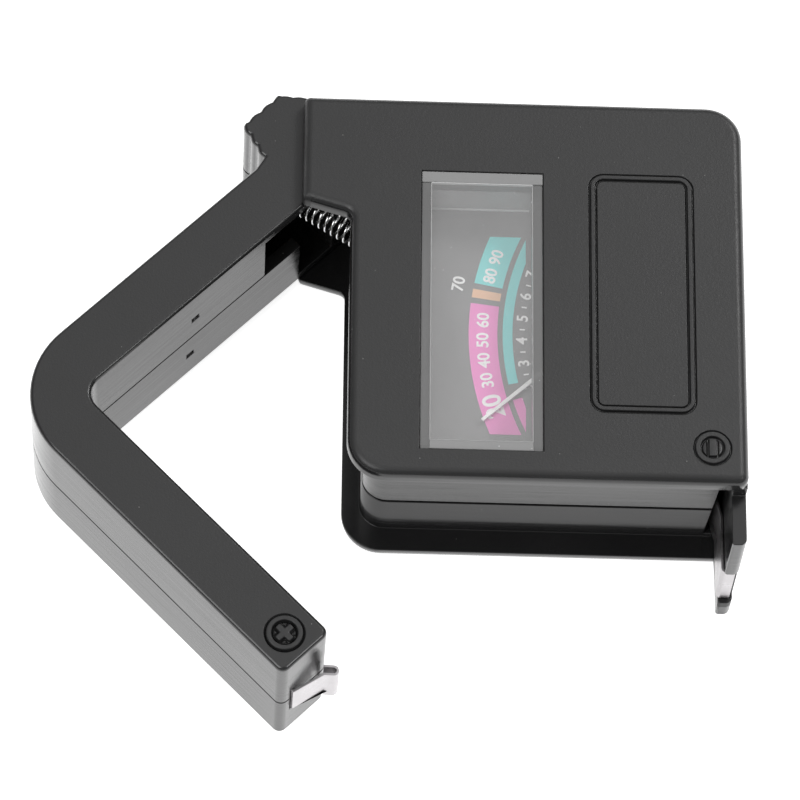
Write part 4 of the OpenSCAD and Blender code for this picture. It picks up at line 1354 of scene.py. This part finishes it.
@dataclass
class Movement:
    """The meter's own pieces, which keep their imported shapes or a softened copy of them."""

    dial_edge: float = 0.04
    needle_edge: float = 0.06
    needle_sharp_deg: float = 60.0

    def build(self, finishes: Finishes) -> None:
        """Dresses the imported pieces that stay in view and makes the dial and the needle.

        Args:
            finishes: the tester's finishes.
        """
        kept = {
            "meter_frame": finishes.frame,
            "meter_magnet": finishes.magnet,
            "meter_ring": finishes.iron,
            "magnet_clips": finishes.brass,
            "meter_bridge": finishes.brass,
            "jewel_screws": finishes.brass,
            "dial_screws": finishes.steel,
            "tag_board": finishes.board,
            "load_resistors": finishes.resistor,
            "internal_leads": finishes.lead,
            "spring_anchor": finishes.steel,
            "pivot_pin": finishes.steel,
            "front_hairspring": finishes.brass,
            "rear_hairspring": finishes.brass,
            "pointer_staff": finishes.steel,
            "moving_coil": finishes.winding,
            "arm_conductor": finishes.brass,
        }
        for node, finish in kept.items():
            paint(frame["nodes"][node].data, finish)
            log.info("%s: dressed", node)
        dial = Softened("dial_plate", "dial", Body.CASE, Slot.DIAL, self.dial_edge)
        dial.build(finishes.dial)
        edges = (self.needle_edge, self.needle_sharp_deg)
        needle = Softened("pointer", "needle", Body.NEEDLE, Slot.NEEDLE, *edges)
        needle.build(finishes.needle)


# ---- studio


@dataclass
class Softbox:
    """A square area light, with its place and its side in metres."""

    name: str
    place: Triple
    size: float
    watts: float
    aim: Triple = (-0.016, -0.014, 0.01)

    def build(self) -> None:
        """Makes the light and turns it to the tester."""
        data = bpy.data.lights.new(self.name, "AREA")
        data.size = self.size
        data.energy = self.watts
        made = link(self.name, data)
        made.location = self.place
        way = Vector(self.aim) - Vector(self.place)
        made.rotation_euler = way.to_track_quat("-Z", "Y").to_euler()


@dataclass
class Studio:
    """Camera, floor and soft lights, with the floor's side in metres."""

    pitch_deg: float = -25.0
    yaw_deg: float = 2.2
    roll_deg: float = -0.6
    distance: float = 550.0
    aim: Triple = (-16.69, -14.76, 23.6)
    lens: float = 220.5
    sensor_w: float = 36.0
    near: float = 0.05
    floor_size: float = 6.0
    floor_gap: float = 0.02
    floor_glow: float = 0.85
    sky: float = 0.38

    def _turn(self) -> Matrix:
        """Finds how the camera is turned.

        Returns:
            The rotation from the camera's axes to the model's.
        """
        turns = ((self.roll_deg, "Z"), (self.pitch_deg, "X"), (self.yaw_deg, "Y"))
        roll, pitch, yaw = (Matrix.Rotation(math.radians(turn), 3, axis) for turn, axis in turns)
        return (roll @ pitch @ yaw).transposed()

    def camera(self) -> None:
        """Makes the camera."""
        data = bpy.data.cameras.new("camera")
        data.lens = self.lens
        data.sensor_width = self.sensor_w
        data.clip_start = self.near
        made = link("camera", data)
        turn = self._turn()
        place = (turn @ Vector((0, 0, self.distance)) + Vector(self.aim)) * MM
        made.matrix_world = Matrix.Translation(place) @ turn.to_4x4()
        bpy.context.scene.camera = made

    def floor(self) -> None:
        """Makes the pale floor."""
        shape = bmesh.new()
        bmesh.ops.create_grid(shape, x_segments=1, y_segments=1, size=self.floor_size / 2)
        bmesh.ops.translate(shape, verts=shape.verts, vec=(0, 0, -self.floor_gap * MM))
        s = Surface("pale_floor")
        s.set("Base Color", (0.92, 0.92, 0.92))
        s.set("Emission Color", (1.0, 1.0, 1.0))
        s.set("Emission Strength", self.floor_glow)
        s.set("Roughness", 0.9)
        s.set("Specular IOR Level", 0.1)
        link("floor", meshed(shape, "floor", s.material))

    def lights(self) -> None:
        """Makes the world and the softboxes."""
        world = bpy.data.worlds.new("studio")
        bpy.context.scene.world = world
        world.use_nodes = True
        background = world.node_tree.nodes["Background"]
        background.inputs[0].default_value = (1, 1, 1, 1)
        background.inputs[1].default_value = self.sky
        for box in (
            Softbox("overhead", (0.0, 0.35, 0.9), size=1.1, watts=2.55),
            Softbox("key", (-0.5, -0.35, 0.75), size=0.5, watts=3.6),
            Softbox("fill", (0.5, 0.45, 0.8), size=0.25, watts=3.4),
            Softbox("side", (0.6, -0.3, 0.72), size=0.2, watts=1.0),
        ):
            box.build()
        bpy.context.scene.view_settings.view_transform = "Standard"

    def build(self) -> None:
        """Makes the whole studio."""
        self.camera()
        self.floor()
        self.lights()


def main() -> None:
    """Builds the dressed tester and its studio."""
    logging.basicConfig(level=logging.INFO, format="%(message)s")
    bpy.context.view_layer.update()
    Studio().build()
    finishes = Finishes()
    for assembly in (CaseShells(), ArmShells(), Window(), Movement(), Artwork(), Contacts()):
        assembly.build(finishes)
    TensionSpring().build(finishes)
    screws = ScrewRecipe()
    for group in screw_sets():
        group.build(screws, finishes.steel)


if __name__ == "__main__":
    main()
